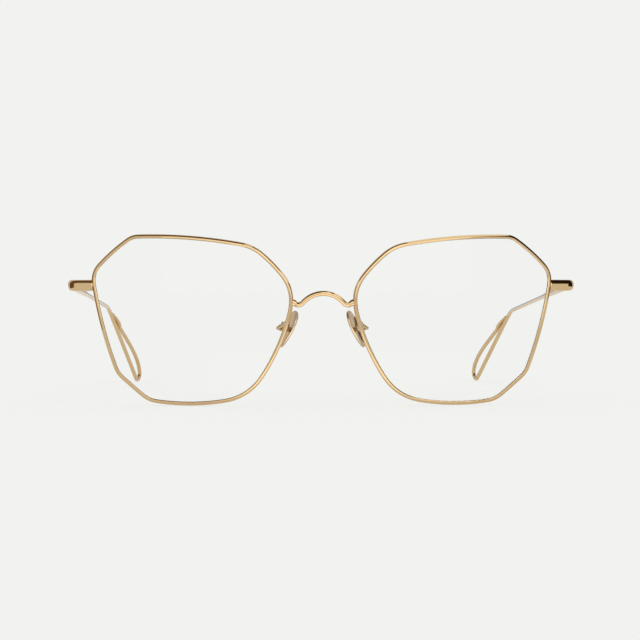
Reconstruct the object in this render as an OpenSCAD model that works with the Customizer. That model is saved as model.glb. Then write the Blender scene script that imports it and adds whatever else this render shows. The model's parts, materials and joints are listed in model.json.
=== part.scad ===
// Thin gold wire eyeglasses with cut-corner eyewires, dished metal nose pads
// and temples whose wire turns back on itself in a long open loop at the tip.
// +X is the wearer's left, the lenses face -Y, the temples run to +Y and +Z is up.
// The glasses stand on the lowest points of both rims and of both temple loops.

/* [Lens shape] */
// Width of one eyewire, between the centre lines of its wire
lens_w = 53.1; // [46:0.1:58]
// Height of one eyewire, between the centre lines of its wire
lens_h = 44.9; // [40:0.1:50]
// Clear distance between the two eyewires' centre lines at the nose
nose_gap = 17.5; // [15:0.1:22]
// How far the outer corner stands out past the box of the eyewire
outer_corner_out = 0.4; // [0:0.1:1.5]
// Height of the outer corner over the middle of the lens
outer_corner_z = 12.4; // [9:0.1:15]
// Length of the upper outer cut, measured along the top
top_outer_cut = 10.5; // [7:0.1:13]
// Length of the upper nose-side cut, measured along the top
top_nose_cut = 10.6; // [8:0.1:14]
// How far the top drops at its nose end
top_nose_drop = 2.6; // [1:0.1:4]
// Height of the nose-side corner over the middle of the lens
nose_corner_z = 7.6; // [5:0.1:9]
// Length of the lower nose-side cut, measured along the bottom
low_nose_cut = 11.7; // [9:0.1:14]
// Length of the lower outer cut, measured along the bottom
low_outer_cut = 14.8; // [12:0.1:17]
// How far the lower outer corner lies inside the box of the eyewire
low_outer_in = 6.5; // [5:0.1:8]
// Height of the lower outer corner over the bottom
low_outer_rise = 8.1; // [6:0.1:10]
// Radius of the lenses' front curve
base_r = 130; // [90:5:250]
// Angle by which each lens turns back at its outer side
wrap = 4; // [0:0.5:8]
// Angle by which the front leans forward at its top
lean = 3; // [0:0.5:6]

/* [Eyewire and lens] */
// Width of the eyewire seen from the front
wire_w = 1.1; // [0.9:0.05:1.6]
// Depth of the eyewire from front to back
wire_d = 2; // [1.7:0.1:2.4]
// Depth of the groove that holds the lens
groove = 0.45; // [0.3:0.05:0.5]
// Thickness of a lens
lens_t = 1.6; // [1.2:0.1:1.7]
// Height of the bevel on the lens edge
bevel = 0.4; // [0.2:0.05:0.45]
// Gap between the lens and its eyewire
lens_clear = 0.05; // [0.02:0.01:0.1]

/* [Closing blocks] */
// Height of the cut in each eyewire, at its closing blocks
split_gap = 0.12; // [0.08:0.01:0.3]
// Width of a closing block, outwards from the eyewire
block_w = 2.3; // [2.1:0.1:2.8]
// Depth of a closing block
block_d = 2.3; // [2.1:0.1:2.8]
// Radius of the rim screw's shank
rim_screw_r = 0.6; // [0.4:0.05:0.7]
// Radius of the rim screw's head
rim_head_r = 0.85; // [0.75:0.05:1]
// Height of the rim screw's head
rim_head_h = 0.45; // [0.3:0.05:0.6]

/* [Bridge] */
// Diameter of the bridge wire
bridge_d = 1.4; // [1.1:0.1:1.8]
// Height of the bridge's ends over the middle of the lens
bridge_end_z = 4.75; // [3:0.1:6]
// Height of the arch over the low points beside it
bridge_rise = 3.1; // [1.5:0.1:4.5]
// Distance from each low point of the bridge to the middle
bridge_low_x = 6.8; // [5.8:0.1:7]
// Depth of each low point under the bridge's end
bridge_dip = 0.6; // [0.3:0.1:1.4]
// Radius of the bend at each low point
bridge_bend_r = 1.8; // [1.3:0.1:2.4]
// How far the arch stands forward of the bridge's ends
bridge_forward = 1.2; // [0:0.1:2]

/* [Endpieces] */
// Height of the endpiece's bar
end_h = 3; // [2.4:0.1:3.2]
// Thickness of the endpiece's bar where it leaves the eyewire
end_t = 1.3; // [1:0.1:1.6]
// Height of the endpiece over the middle of the lens
end_z = 9.15; // [7.5:0.05:9.2]
// Distance from the middle of the glasses to the centre line of a temple at its hinge
temple_x = 68; // [66.6:0.1:70]
// Distance from the eyewire's middle back to the hinge pin
hinge_back = 9; // [8:0.1:12]
// How far the endpiece falls from the eyewire to the hinge
hinge_low = 0.1; // [0:0.05:1.2]
// Length of the round at the endpiece's corner
end_round = 3.2; // [2:0.1:3.6]

/* [Hinges] */
// Radius of the hinge barrel
barrel_r = 1.15; // [1:0.05:1.3]
// Height of the middle knuckle, on the temple
mid_h = 0.8; // [0.65:0.05:1]
// Height of each outer knuckle, on the endpiece
outer_h = 0.62; // [0.5:0.02:0.8]
// Running gap between two knuckles
knuckle_gap = 0.06; // [0.04:0.01:0.1]
// Distance from the hinge pin out to the inner face of the temple
pin_inset = 1.55; // [1.45:0.05:1.8]
// Radius of the hinge screw's shank
hinge_screw_r = 0.55; // [0.4:0.05:0.6]
// Radius of the hinge screw's head
hinge_head_r = 0.85; // [0.75:0.05:0.9]
// Height of the hinge screw's head
hinge_head_h = 0.3; // [0.2:0.05:0.4]
// Thickness of the plates that carry the knuckles
leaf_t = 0.8; // [0.6:0.05:0.9]
// Length of the plates that carry the knuckles
leaf_l = 3.2; // [2.5:0.1:4]
// Gap between the endpiece and the temple when it is open
butt_gap = 0.16; // [0.1:0.01:0.3]
// Radial clearance of a screw in the hole that turns on it
run_clear = 0.03; // [0.02:0.01:0.05]
// Radial clearance of a screw in the hole that holds it
seat_clear = 0.01; // [0.01:0.01:0.03]

/* [Temples] */
// Length of the straight shaft, from the hinge to the bend
shaft_l = 101.5; // [90:0.5:112]
// Height of the flattened strip at the hinge
strip_h = 2.2; // [2:0.1:2.8]
// Thickness of the flattened strip at the hinge
strip_t = 1; // [0.8:0.05:1.2]
// Diameter of the temple wire
temple_d = 1.25; // [1.1:0.05:1.6]
// Length of the taper from the strip to the round wire
taper_l = 42; // [28:1:80]
// Angle by which a shaft turns inwards towards the back
toe_in = 2.65; // [1:0.05:3.2]
// How much more the wearer's right shaft turns in than the left one
toe_skew = 1.7; // [0:0.1:2]
// Angle by which a shaft falls towards the back
drop = 4.8; // [3.8:0.1:5]
// How much less the wearer's right shaft falls than the left one
drop_skew = 0.7; // [0:0.1:1]
// How far the middle of the shaft sags under a straight line
sag = 0; // [0:0.1:1.5]
// Length of the tip, from the ear bend to its lowest point
tip_l = 36.5; // [30:0.5:42]
// Angle by which the tip turns inwards from the shaft
tip_in = 14.5; // [8:0.5:20]
// Length of the round at the ear bend
ear_round = 5; // [3:0.5:8]

/* [Tip loop] */
// Radius of the turn at the bottom of the loop
turn_r = 2.1; // [1.7:0.1:2.6]
// Greatest distance between the loop's two wires
loop_w = 5.2; // [4.8:0.1:6.5]
// Length of the loop's flattened end
spade_l = 8; // [5:0.5:10]
// Width of the loop's flattened end
spade_w = 2.4; // [1.8:0.1:3]
// Thickness of the loop's flattened end
spade_t = 0.7; // [0.5:0.05:0.9]
// Distance from the ear bend to where the flattened end is joined
join_l = 4; // [3:0.5:7]

/* [Nose pads] */
// Height of a nose pad
pad_h = 10.5; // [9:0.1:13]
// Width of a nose pad
pad_w = 5.9; // [5:0.1:8]
// Thickness of a nose pad
pad_t = 0.6; // [0.5:0.05:0.9]
// Depth of the dish on the side away from the nose
pad_dish = 0.85; // [0.4:0.05:1.4]
// Angle of a nose pad seen from the front, its top towards the nose
pad_splay = 24; // [15:1:30]
// Angle of a nose pad seen from above, its front edge towards the nose
pad_turn = 20; // [14:1:32]
// Distance from the middle of the glasses to the middle of a nose pad
pad_x = 9.4; // [9:0.1:11]
// Distance from the front of the eyewires back to the middle of a nose pad
pad_back = 7.3; // [7:0.1:10]
// Height of a nose pad's middle under the middle of the lens
pad_low = 2.35; // [1:0.05:4]

/* [Pad mountings] */
// Diameter of the pad arm's wire
arm_d = 0.9; // [0.7:0.05:1.1]
// Width of the pad box along its screw
box_w = 2.2; // [2:0.1:2.6]
// Height of the pad box
box_h = 2.5; // [2.2:0.1:3]
// Depth of the pad box, away from the pad
box_d = 1.7; // [1.5:0.1:2]
// Thickness of the tab on the back of the pad
tab_t = 0.8; // [0.6:0.05:0.9]
// Gap on each side of the tab inside its box
tab_clear = 0.08; // [0.05:0.01:0.15]
// Radius of the pad screw's shank
pad_screw_r = 0.38; // [0.3:0.02:0.42]
// Radius of the pad screw's head
pad_head_r = 0.6; // [0.5:0.05:0.7]
// Height of the pad screw's head
pad_head_h = 0.3; // [0.2:0.05:0.4]

/* [Hidden] */
$fn = 48;
gold = "#d2a86c";
dark_gold = "#a9793f";
steel = "#c9c4bb";

// Outline of the eyewire
half_w = lens_w / 2;
half_h = lens_h / 2;
// How far the three corners that the box does not fix lie from it
top_drop = 0.13;
nose_corner_out = 0.65;
low_nose_rise = 2;
low_mid_rise = 0.87;
corners = [
  [half_w + outer_corner_out, outer_corner_z],
  [half_w - top_outer_cut, half_h - top_drop],
  [top_nose_cut - half_w, half_h - top_nose_drop],
  [-half_w - nose_corner_out, nose_corner_z],
  [low_nose_cut - half_w, low_nose_rise - half_h],
  [half_w - low_outer_cut, low_mid_rise - half_h],
  [half_w - low_outer_in, low_outer_rise - half_h]];
// Length of each corner's round, along both of its sides
rounds = [3.1, 1.55, 3.3, 5.5, 6.5, 2.2, 1.6];
// How far the side that follows each corner bows out
bows = [0.55, 1, 0.88, 2.15, 1.4, 0.07, 0.75];
side_count = len(corners);
corner_steps = 5;
side_steps = 6;

function after(i) = (i + 1) % side_count;
function before(i) = (i + side_count - 1) % side_count;
function side_l(i) = norm(corners[after(i)] - corners[i]);
function side_dir(i) = (corners[after(i)] - corners[i]) / side_l(i);
function side_out(i) = [side_dir(i)[1], -side_dir(i)[0]];
function side_at(i, t) = corners[i] + side_dir(i) * side_l(i) * t + side_out(i) * 4 * bows[i] * t * (1 - t);
function side_run(i, t) = side_dir(i) * side_l(i) + side_out(i) * 4 * bows[i] * (1 - 2 * t);
function cross2(a, b) = a[0] * b[1] - a[1] * b[0];
function meet(p, d, q, e) = p + d * cross2(q - p, e) / cross2(d, e);
function curve3(a, b, c, t) = a * (1 - t) * (1 - t) + b * 2 * t * (1 - t) + c * t * t;
function start_t(i) = rounds[i] / side_l(i);
function end_t(i) = 1 - rounds[after(i)] / side_l(i);
function corner_points(i) =
  let (
    j = before(i),
    a = side_at(j, end_t(j)),
    c = side_at(i, start_t(i)),
    b = meet(a, side_run(j, end_t(j)), c, side_run(i, start_t(i))))
  [for (k = [0:corner_steps - 1]) curve3(a, b, c, k / corner_steps)];
function side_points(i, from, to, count) = [for (k = [0:count - 1]) side_at(i, from + (to - from) * k / count)];

// The eyewire is cut on its outer side, at the height of the endpiece
cut_side = side_count - 1;
function cut_t(z, lo, hi, left) =
  left == 0 ? (lo + hi) / 2
  : side_at(cut_side, (lo + hi) / 2)[1] < z ? cut_t(z, (lo + hi) / 2, hi, left - 1)
  : cut_t(z, lo, (lo + hi) / 2, left - 1);
// The cut stays on the side itself, under the round of the outer corner
cut_step = 0.002;
cut_top = min(end_t(cut_side) - cut_step, cut_t(end_z + split_gap / 2, 0, 1, 24));
cut_low = min(cut_top - cut_step, cut_t(end_z - split_gap / 2, 0, 1, 24));
outline = concat(
  [side_at(cut_side, cut_top)],
  [for (i = [0:side_count - 2]) each concat(corner_points(i), side_points(i, start_t(i), end_t(i), side_steps))],
  corner_points(cut_side),
  side_points(cut_side, start_t(cut_side), cut_low, side_steps),
  [side_at(cut_side, cut_low)]);
last = len(outline) - 1;
function outline_dir(k) =
  let (d = outline[min(k + 1, last)] - outline[max(k - 1, 0)])
  d / norm(d);
outline_out = [for (k = [0:last]) [outline_dir(k)[1], -outline_dir(k)[0]]];

// Places in the front: u runs outwards, w up and n forward from the lens curve
lens_x = nose_gap / 2 + half_w * cos(wrap);
front_z = (half_h + wire_w / 2) * cos(lean) + (base_n([0, half_h]) + wire_d / 4) * sin(lean);
function base_n(p) = sqrt(base_r * base_r - p[0] * p[0] - p[1] * p[1]) - base_r;
function front_at(u, w, n) =
  let (y = u * sin(wrap) - n * cos(wrap))
  [lens_x + u * cos(wrap) + n * sin(wrap), y * cos(lean) - w * sin(lean), y * sin(lean) + w * cos(lean) + front_z];
function on_front(p, n = 0) = front_at(p[0], p[1], base_n(p) + n);

// The place of the endpiece, the blocks and the hinge
cut_point = side_at(cut_side, cut_t(end_z, 0, 1, 24));
rim_end = on_front(cut_point);
// The eyewire slants here, so what is joined to it stands a little off its middle line
rim_slant = 0.15;
rim_out_x = rim_end[0] + wire_w / 2 + rim_slant;
block_x = rim_out_x + block_w / 2;
end_forward = 0.1;
end_y = rim_end[1] - end_forward;
block_front = end_y + strip_t / 2;
block_y = block_front + block_d / 2;
block_gap = split_gap / 2;
block_h = end_h / 2 - block_gap;
hinge_y = rim_end[1] + hinge_back;
hinge_z = rim_end[2] - hinge_low;
pin_x = temple_x - strip_t / 2 - pin_inset;
barrel_h = mid_h + 2 * outer_h + 2 * knuckle_gap;
outer_z = mid_h / 2 + knuckle_gap;

// Builds a closed solid from rings of points, each ring one step along a path
module ring_solid(rings) {
  n = len(rings[0]);
  end = (len(rings) - 1) * n;
  points = [for (r = rings) each r];
  sides = [for (i = [0:len(rings) - 2], j = [0:n - 1])
    let (a = i * n + j, b = i * n + (j + 1) % n)
    each [[a, b, b + n], [a, b + n, a + n]]];
  caps = [for (j = [1:n - 2]) each [[0, j + 1, j], [end, end + j, end + j + 1]]];
  polyhedron(points, concat(sides, caps), convexity = 8);
}

// A ring of points round a place: a and b are its two half widths, side and up its axes
function power(x, k) = sign(x) * pow(abs(x), k);
function section(p, side, up, a, b, k = 1, n = 12) = [for (i = [0:n - 1])
  let (t = 360 * (i + 0.5) / n)
  p + side * a * power(cos(t), k) + up * b * power(sin(t), k)];

function unit(v) = v / norm(v);
function path_dir(p, k) = unit(p[min(k + 1, len(p) - 1)] - p[max(k - 1, 0)]);
// Rings across a path: hint lies near the side axis, sizes gives half widths and squareness
function path_rings(p, hint, sizes, n = 12) = [for (k = [0:len(p) - 1])
  let (d = path_dir(p, k), up = unit(cross(hint, d)), side = cross(d, up), s = sizes[k])
  section(p[k], side, up, s[0], s[1], s[2], n)];

module on_left() {
  translate([0, -middle_y, 0]) children();
}

module on_right() {
  mirror([1, 0, 0]) on_left() children();
}

// Eyewire: a rolled channel whose groove holds the lens, cut at the closing blocks
outer_edge = 0.3;
lip_edge = 0.18;
groove_half = groove + 0.05;
half_wire = [wire_w / 2, wire_d / 2];
wire_section = [
  half_wire - [0, outer_edge], half_wire - [outer_edge, 0], [lip_edge - wire_w / 2, wire_d / 2],
  [-wire_w / 2, wire_d / 2 - lip_edge], [-wire_w / 2, groove_half], [groove - wire_w / 2, 0],
  [-wire_w / 2, -groove_half], [-wire_w / 2, lip_edge - wire_d / 2], [lip_edge - wire_w / 2, -wire_d / 2],
  [wire_w / 2 - outer_edge, -wire_d / 2], [wire_w / 2, outer_edge - wire_d / 2]];
function across(k, r) = outline[k] + outline_out[k] * r;
module rim() {
  color(gold) ring_solid([for (k = [0:last]) [for (s = wire_section)
    front_at(across(k, s[0])[0], across(k, s[0])[1], base_n(outline[k]) + s[1])]]);
}

// Lens: a curved plate of even thickness with a bevel that sits in the groove
edge_r = -wire_w / 2 - lens_clear;
tip_r = min(edge_r + bevel, groove - wire_w / 2 - lens_clear);
// Shares of the lens at which the inner rings of its curve lie
lens_steps = [0.45, 0.8];
function lens_ring(share, n) = [for (k = [0:last])
  let (p = across(k, edge_r) * share)
  front_at(p[0], p[1], base_n(p) + n)];
function edge_ring(r, n) = [for (k = [0:last])
  let (p = across(k, r))
  front_at(p[0], p[1], base_n(outline[k]) + n)];
lens_rings = concat(
  [for (s = lens_steps) lens_ring(s, lens_t / 2)],
  [edge_ring(edge_r, lens_t / 2), edge_ring(edge_r, bevel), edge_ring(tip_r, 0),
   edge_ring(edge_r, -bevel), edge_ring(edge_r, -lens_t / 2)],
  [for (k = [1:len(lens_steps)]) lens_ring(lens_steps[len(lens_steps) - k], -lens_t / 2)]);
module lens() {
  n = last + 1;
  m = len(lens_rings);
  points = concat([for (r = lens_rings) each r], [front_at(0, 0, lens_t / 2), front_at(0, 0, -lens_t / 2)]);
  sides = [for (i = [0:m - 2], j = [0:n - 1])
    let (a = i * n + j, b = i * n + (j + 1) % n)
    each [[a, b, b + n], [a, b + n, a + n]]];
  front = [for (j = [0:n - 1]) [m * n, (j + 1) % n, j]];
  back = [for (j = [0:n - 1]) [m * n + 1, (m - 1) * n + j, (m - 1) * n + (j + 1) % n]];
  color([0.9, 0.95, 0.97, 0.35]) polyhedron(points, concat(sides, front, back), convexity = 6);
}

// Bridge: one bent wire, an arc over the nose that turns up again beside each eyewire
// The nose side is all of the outline past this share of its half width
nose_share = 0.65;
nose_side = [for (p = outline) if (p[0] < -nose_share * half_w) [p[1], p[0]]];
function nose_u(w) = lookup(w, nose_side);
// A piece that is joined to the eyewire's side stands this far off its middle line
seat_off = wire_w / 2 + 0.02;
bridge_seat = on_front([nose_u(bridge_end_z), bridge_end_z]) - [seat_off, 0, 0];
bridge_low_z = bridge_seat[2] - bridge_dip;
// Length of the straight stub at each end, and the share of the forward reach at the low points
bridge_stub = 0.15;
low_forward = 0.2;
curl_steps = 3;
low_steps = 3;
arch_steps = 8;
// The arch's radius follows from its rise, its low points and the bends there
arch_r = (pow(bridge_low_x, 2) + pow(bridge_rise, 2)) / (2 * bridge_rise) - bridge_bend_r;
arch_angle = asin(bridge_low_x / (arch_r + bridge_bend_r));
function arch_at(x, rise) = [
  x, bridge_seat[1] - bridge_forward * (1 - (1 - low_forward) * pow(x / bridge_low_x, 2)), bridge_low_z + rise];
curl_x = bridge_seat[0] - bridge_stub;
bridge_half = concat(
  [bridge_seat],
  [for (k = [0:curl_steps]) let (t = k / curl_steps)
    [curl_x + (bridge_low_x - curl_x) * t,
     bridge_seat[1] - bridge_forward * low_forward * t * t,
     bridge_seat[2] - bridge_dip * (1 - cos(180 * t)) / 2]],
  [for (k = [1:low_steps]) let (a = arch_angle * k / low_steps)
    arch_at(bridge_low_x - bridge_bend_r * sin(a), bridge_bend_r * (1 - cos(a)))],
  [for (k = [1:arch_steps]) let (a = arch_angle * (1 - k / arch_steps))
    arch_at(arch_r * sin(a), bridge_rise - arch_r * (1 - cos(a)))]);
bridge_path = concat(bridge_half, [for (k = [2:len(bridge_half)])
  let (p = bridge_half[len(bridge_half) - k]) [-p[0], p[1], p[2]]]);
// The wire is a little thicker where it is joined to each eyewire
bridge_flare = 0.22;
function seat_share(p) = max(0, (abs(p[0]) - bridge_low_x) / (bridge_seat[0] - bridge_low_x));
function bridge_r(p) = bridge_d / 2 + bridge_flare * pow(seat_share(p), 2);
module bridge() {
  color(gold) ring_solid(path_rings(bridge_path, [0, -1, 0],
    [for (p = bridge_path) [bridge_r(p), bridge_r(p), 1]], 10));
}

// Endpiece: a half-round bar that leaves the eyewire, turns back and ends at the hinge
end_start = [rim_out_x, end_y, rim_end[2]];
end_corner = [temple_x, end_y, rim_end[2]];
end_stop = [temple_x, hinge_y - butt_gap, hinge_z];
end_path = concat(
  [for (t = [0, 0.5]) end_start + (end_corner - [end_round, 0, 0] - end_start) * t],
  [for (k = [0:8]) curve3(end_corner - [end_round, 0, 0], end_corner, end_corner + [0, end_round, 0], k / 8)],
  [for (t = [0.35, 0.7, 1]) end_corner + [0, end_round, 0] + (end_stop - end_corner - [0, end_round, 0]) * t]);
end_last = len(end_path) - 1;
// The bar keeps its full height to the end of its corner, at this share of its run
end_full = 10 / end_last;
// Half-round section: domed outside, and its flat inner face stays in line with the temple's
function end_section(p, side, t, h) = [for (q = [
    [-0.3, -0.5], [0.1, -0.46], [0.38, -0.3], [0.5, -0.1], [0.5, 0.1],
    [0.38, 0.3], [0.1, 0.46], [-0.3, 0.5], [-0.5, 0.42], [-0.5, -0.42]])
  p + side * ((q[0] + 0.5) * t - strip_t / 2) + [0, 0, q[1] * h]];
module endpiece() {
  rings = [for (k = [0:end_last])
    let (
      d = path_dir(end_path, k),
      side = unit([d[1], -d[0], 0]),
      share = k / end_last,
      t = end_t + (strip_t - end_t) * share,
      h = end_h + (strip_h - end_h) * max(0, share - end_full) / (1 - end_full))
    end_section(end_path[k], side, t, h)];
  color(gold) ring_solid(rings);
}

// Closing blocks: two small blocks on the ends of the eyewire, drawn together by a screw.
// The screw's hole ends inside the upper block, and the screw a little before it
hole_h = block_h * 0.75;
screw_short = 0.15;
// Width of the slot in each kind of screw, and its depth as a share of the head's height
rim_slot = 0.25;
hinge_slot = 0.22;
pad_slot = 0.2;
slot_depth = 0.5;
module block_at(z) {
  translate([block_x - block_w / 2, block_front, rim_end[2] + z]) cube([block_w, block_d, block_h]);
}

module closing_block_upper() {
  color(gold) difference() {
    block_at(block_gap);
    translate([block_x, block_y, rim_end[2] - 1])
      cylinder(r = rim_screw_r + seat_clear, h = 1 + block_gap + hole_h);
  }
}

module closing_block_lower() {
  color(gold) difference() {
    block_at(-block_gap - block_h);
    translate([block_x, block_y, rim_end[2] - end_h]) cylinder(r = rim_screw_r + run_clear, h = 2 * end_h);
    translate([block_x, block_y, rim_end[2] - end_h])
      cylinder(r = rim_head_r + run_clear, h = end_h / 2 + rim_head_h);
  }
}

// Screws: a shank, a flat head and a slot across the head
module screw(shank_r, shank_l, head_r, head_h, slot_w) {
  color(steel) difference() {
    union() {
      translate([0, 0, -head_h / 2]) cylinder(r = shank_r, h = shank_l + head_h / 2);
      translate([0, 0, -head_h]) cylinder(r = head_r, h = head_h);
    }
    translate([-head_r - 1, -slot_w / 2, -head_h - 1]) cube([2 * head_r + 2, slot_w, 1 + head_h * slot_depth]);
  }
}

module rim_screw() {
  translate([block_x, block_y, rim_end[2] - end_h / 2 + rim_head_h - seat_clear])
    screw(rim_screw_r, end_h / 2 - rim_head_h + block_gap + hole_h - screw_short, rim_head_r, rim_head_h, rim_slot);
}

// Hinge: three knuckles on one screw, square to the temple's shaft
module at_hinge(s) {
  translate([pin_x, hinge_y, hinge_z]) rotate([-drop_of(s), 0, 0]) children();
}

// A knuckle with its neck, which reaches out to the plate on the side of dir
module knuckle(z, h, dir) {
  translate([0, 0, z]) {
    cylinder(r = barrel_r, h = h);
    translate([0, min(0, dir * neck_l), 0]) cube([pin_inset - leaf_t / 2, neck_l, h]);
  }
}

// The plate keeps this far from the knuckles beside it, and its own necks reach this far onto it
leaf_gap = 0.25;
neck_lap = 0.25;
leaf_start = barrel_r + leaf_gap;
neck_l = leaf_start + neck_lap;
module leaf(dir) {
  translate([pin_inset - leaf_t, dir > 0 ? leaf_start : -leaf_start - leaf_l, -barrel_h / 2])
    cube([leaf_t, leaf_l, barrel_h]);
}

module front_hinge(s) {
  color(gold) at_hinge(s) difference() {
    union() {
      knuckle(outer_z, outer_h, -1);
      knuckle(-outer_z - outer_h, outer_h, -1);
      leaf(-1);
    }
    translate([0, 0, -barrel_h]) cylinder(r = hinge_screw_r + seat_clear, h = 2 * barrel_h);
    translate([0, 0, barrel_h / 2 - hinge_head_h]) cylinder(r = hinge_head_r + seat_clear, h = 1);
  }
}

module temple_hinge(s) {
  color(gold) at_hinge(s) rotate([0, 0, toe_of(s)]) difference() {
    union() {
      knuckle(-mid_h / 2, mid_h, 1);
      leaf(1);
    }
    translate([0, 0, -mid_h]) cylinder(r = hinge_screw_r + run_clear, h = 2 * mid_h);
  }
}

module hinge_screw(s) {
  at_hinge(s) translate([0, 0, barrel_h / 2 - hinge_head_h + seat_clear]) mirror([0, 0, 1])
    screw(hinge_screw_r, barrel_h - hinge_head_h, hinge_head_r, hinge_head_h, hinge_slot);
}

// Temple: flattened at the hinge, then round wire, bent at the ear and looped at the tip.
// s is 1 on the wearer's left and -1 on the right, whose shafts are set a little differently.
// Places are measured from the hinge: x out, y back and z up.
function toe_of(s) = toe_in - s * toe_skew / 2;
function drop_of(s) = drop + s * drop_skew / 2;
function shaft_dir(s) = [-sin(toe_of(s)) * cos(drop_of(s)), cos(toe_of(s)) * cos(drop_of(s)), -sin(drop_of(s))];
function bend(s) = shaft_dir(s) * shaft_l;
function bend_z(s) = hinge_z + bend(s)[2];
// The turn's lowest point lies on the floor, which sets how steeply the tip falls
function tip_angle(s) = atan2(turn_r, tip_l - turn_r)
  + asin((bend_z(s) - wire_r - turn_r) / norm([tip_l - turn_r, turn_r]));
function tip_back(s) = [-sin(toe_of(s) + tip_in), cos(toe_of(s) + tip_in), 0];
function leg_dir(s) = tip_back(s) * cos(tip_angle(s)) + [0, 0, -sin(tip_angle(s))];
function leg_up(s) = tip_back(s) * sin(tip_angle(s)) + [0, 0, cos(tip_angle(s))];
function leg_side(s) = cross(leg_dir(s), leg_up(s));
function turn_start(s) = bend(s) + leg_dir(s) * (tip_l - turn_r);
// How far the wire turns at the bottom before it runs back up the rear of the loop
turn_angle = 152;
function turn_at(s, a) = turn_start(s) + leg_up(s) * turn_r * (1 - cos(a)) + leg_dir(s) * turn_r * sin(a);
function rear_dir(s) = leg_dir(s) * cos(turn_angle) + leg_up(s) * sin(turn_angle);
wire_r = temple_d / 2;
// The flattened end is pressed into the shaft by this much
join_sink = 0.02;
join_gap = wire_r + spade_t / 2 - join_sink;
function join(s) = bend(s) + leg_dir(s) * join_l + leg_up(s) * join_gap;
function curve4(a, b, c, d, t) =
  a * pow(1 - t, 3) + b * 3 * t * pow(1 - t, 2) + c * 3 * t * t * (1 - t) + d * pow(t, 3);
// A curve with this pull bulges by about a fifth of it
rear_pull = (loop_w - turn_r * (1 - cos(turn_angle))) / 0.19;
join_pull = 12;
join_lift = 1.1;
function join_from(s) = join(s) + leg_dir(s) * join_pull + leg_up(s) * join_lift;
shaft_steps = 12;
bend_steps = 6;
leg_steps = 3;
turn_steps = 8;
rear_steps = 12;
shaft_start = [0, butt_gap / 2, 0];
function ear_start(s) = bend(s) - shaft_dir(s) * ear_round;
function ear_end(s) = bend(s) + leg_dir(s) * ear_round;
function temple_path(s) = concat(
  [for (k = [0:shaft_steps - 1]) let (t = k / shaft_steps)
    shaft_start + (ear_start(s) - shaft_start) * t - [0, 0, sag * 4 * t * (1 - t)]],
  [for (k = [0:bend_steps]) curve3(ear_start(s), bend(s), ear_end(s), k / bend_steps)],
  [for (k = [1:leg_steps - 1]) ear_end(s) + (turn_start(s) - ear_end(s)) * k / leg_steps],
  [for (k = [0:turn_steps]) turn_at(s, turn_angle * k / turn_steps)],
  [for (k = [1:rear_steps])
    curve4(turn_at(s, turn_angle), turn_at(s, turn_angle) + rear_dir(s) * rear_pull, join_from(s), join(s),
      k / rear_steps)]);
shaft_rings = shaft_steps + bend_steps + leg_steps;
// Half widths across and up, and squareness, at each ring of the shaft
strip_square = 0.45;
function strip_share(k) = max(0, 1 - (k / shaft_steps) * (shaft_l - ear_round) / taper_l);
function shaft_size(k) =
  let (t = strip_share(k), e = t * (2 - t))
  [wire_r + (strip_t / 2 - wire_r) * e, wire_r + (strip_h / 2 - wire_r) * e, 1 - strip_square * e];
// The loop's end is pressed flat into a small leaf that lies on the shaft, with a narrower tip
leaf_tip = 0.25;
function rear_size(gap) =
  let (t = max(0, 1 - gap / spade_l), wide = sin(180 * pow(t, 0.8)))
  [wire_r + (spade_w / 2 - wire_r) * wide - leaf_tip * pow(t, 6), wire_r + (spade_t / 2 - wire_r) * t, 1];
// The side axis turns with the bend, so that no ring twists
function temple_hint(s, k) = let (t = min(1, max(0, (k - shaft_steps) / bend_steps)))
  unit([1, 0, 0] * (1 - t) + leg_side(s) * sign(leg_side(s)[0]) * t);
module temple(s) {
  path = temple_path(s);
  rings = [for (k = [0:len(path) - 1])
    let (
      d = path_dir(path, k),
      up = unit(cross(temple_hint(s, k), d)),
      side = cross(d, up),
      size = k < shaft_rings ? shaft_size(k) : rear_size(norm(path[k] - join(s))))
    section(path[k], side, up, size[0], size[1], size[2])];
  color(gold) translate([temple_x, hinge_y, hinge_z]) ring_solid(rings);
}

// The depth of the whole, so that the origin lies in the middle under it
front_y = on_front([-half_w, bridge_end_z])[1] - bridge_forward - bridge_d / 2;
back_y = hinge_y + (turn_start(1) + leg_up(1) * loop_w)[1] + temple_d;
middle_y = (front_y + back_y) / 2;

// Nose pads: a dished metal leaf, its tab, its box with a screw, and a bent wire arm
pad_at = [pad_x, pad_back - wire_d / 2, front_z - pad_low];
module at_pad() {
  translate(pad_at) rotate([0, -pad_splay, 0]) rotate([0, 0, -pad_turn]) children();
}
function turn_y(p, a) = [p[0] * cos(a) + p[2] * sin(a), p[1], p[2] * cos(a) - p[0] * sin(a)];
function turn_z(p, a) = [p[0] * cos(a) - p[1] * sin(a), p[0] * sin(a) + p[1] * cos(a), p[2]];
function from_pad(p) = pad_at + turn_y(turn_z(p, -pad_turn), -pad_splay);

pad_steps = 28;
pad_shares = [0.4, 0.75, 1];
// How far the rounded edge stands out
edge_share = 0.03;
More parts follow.
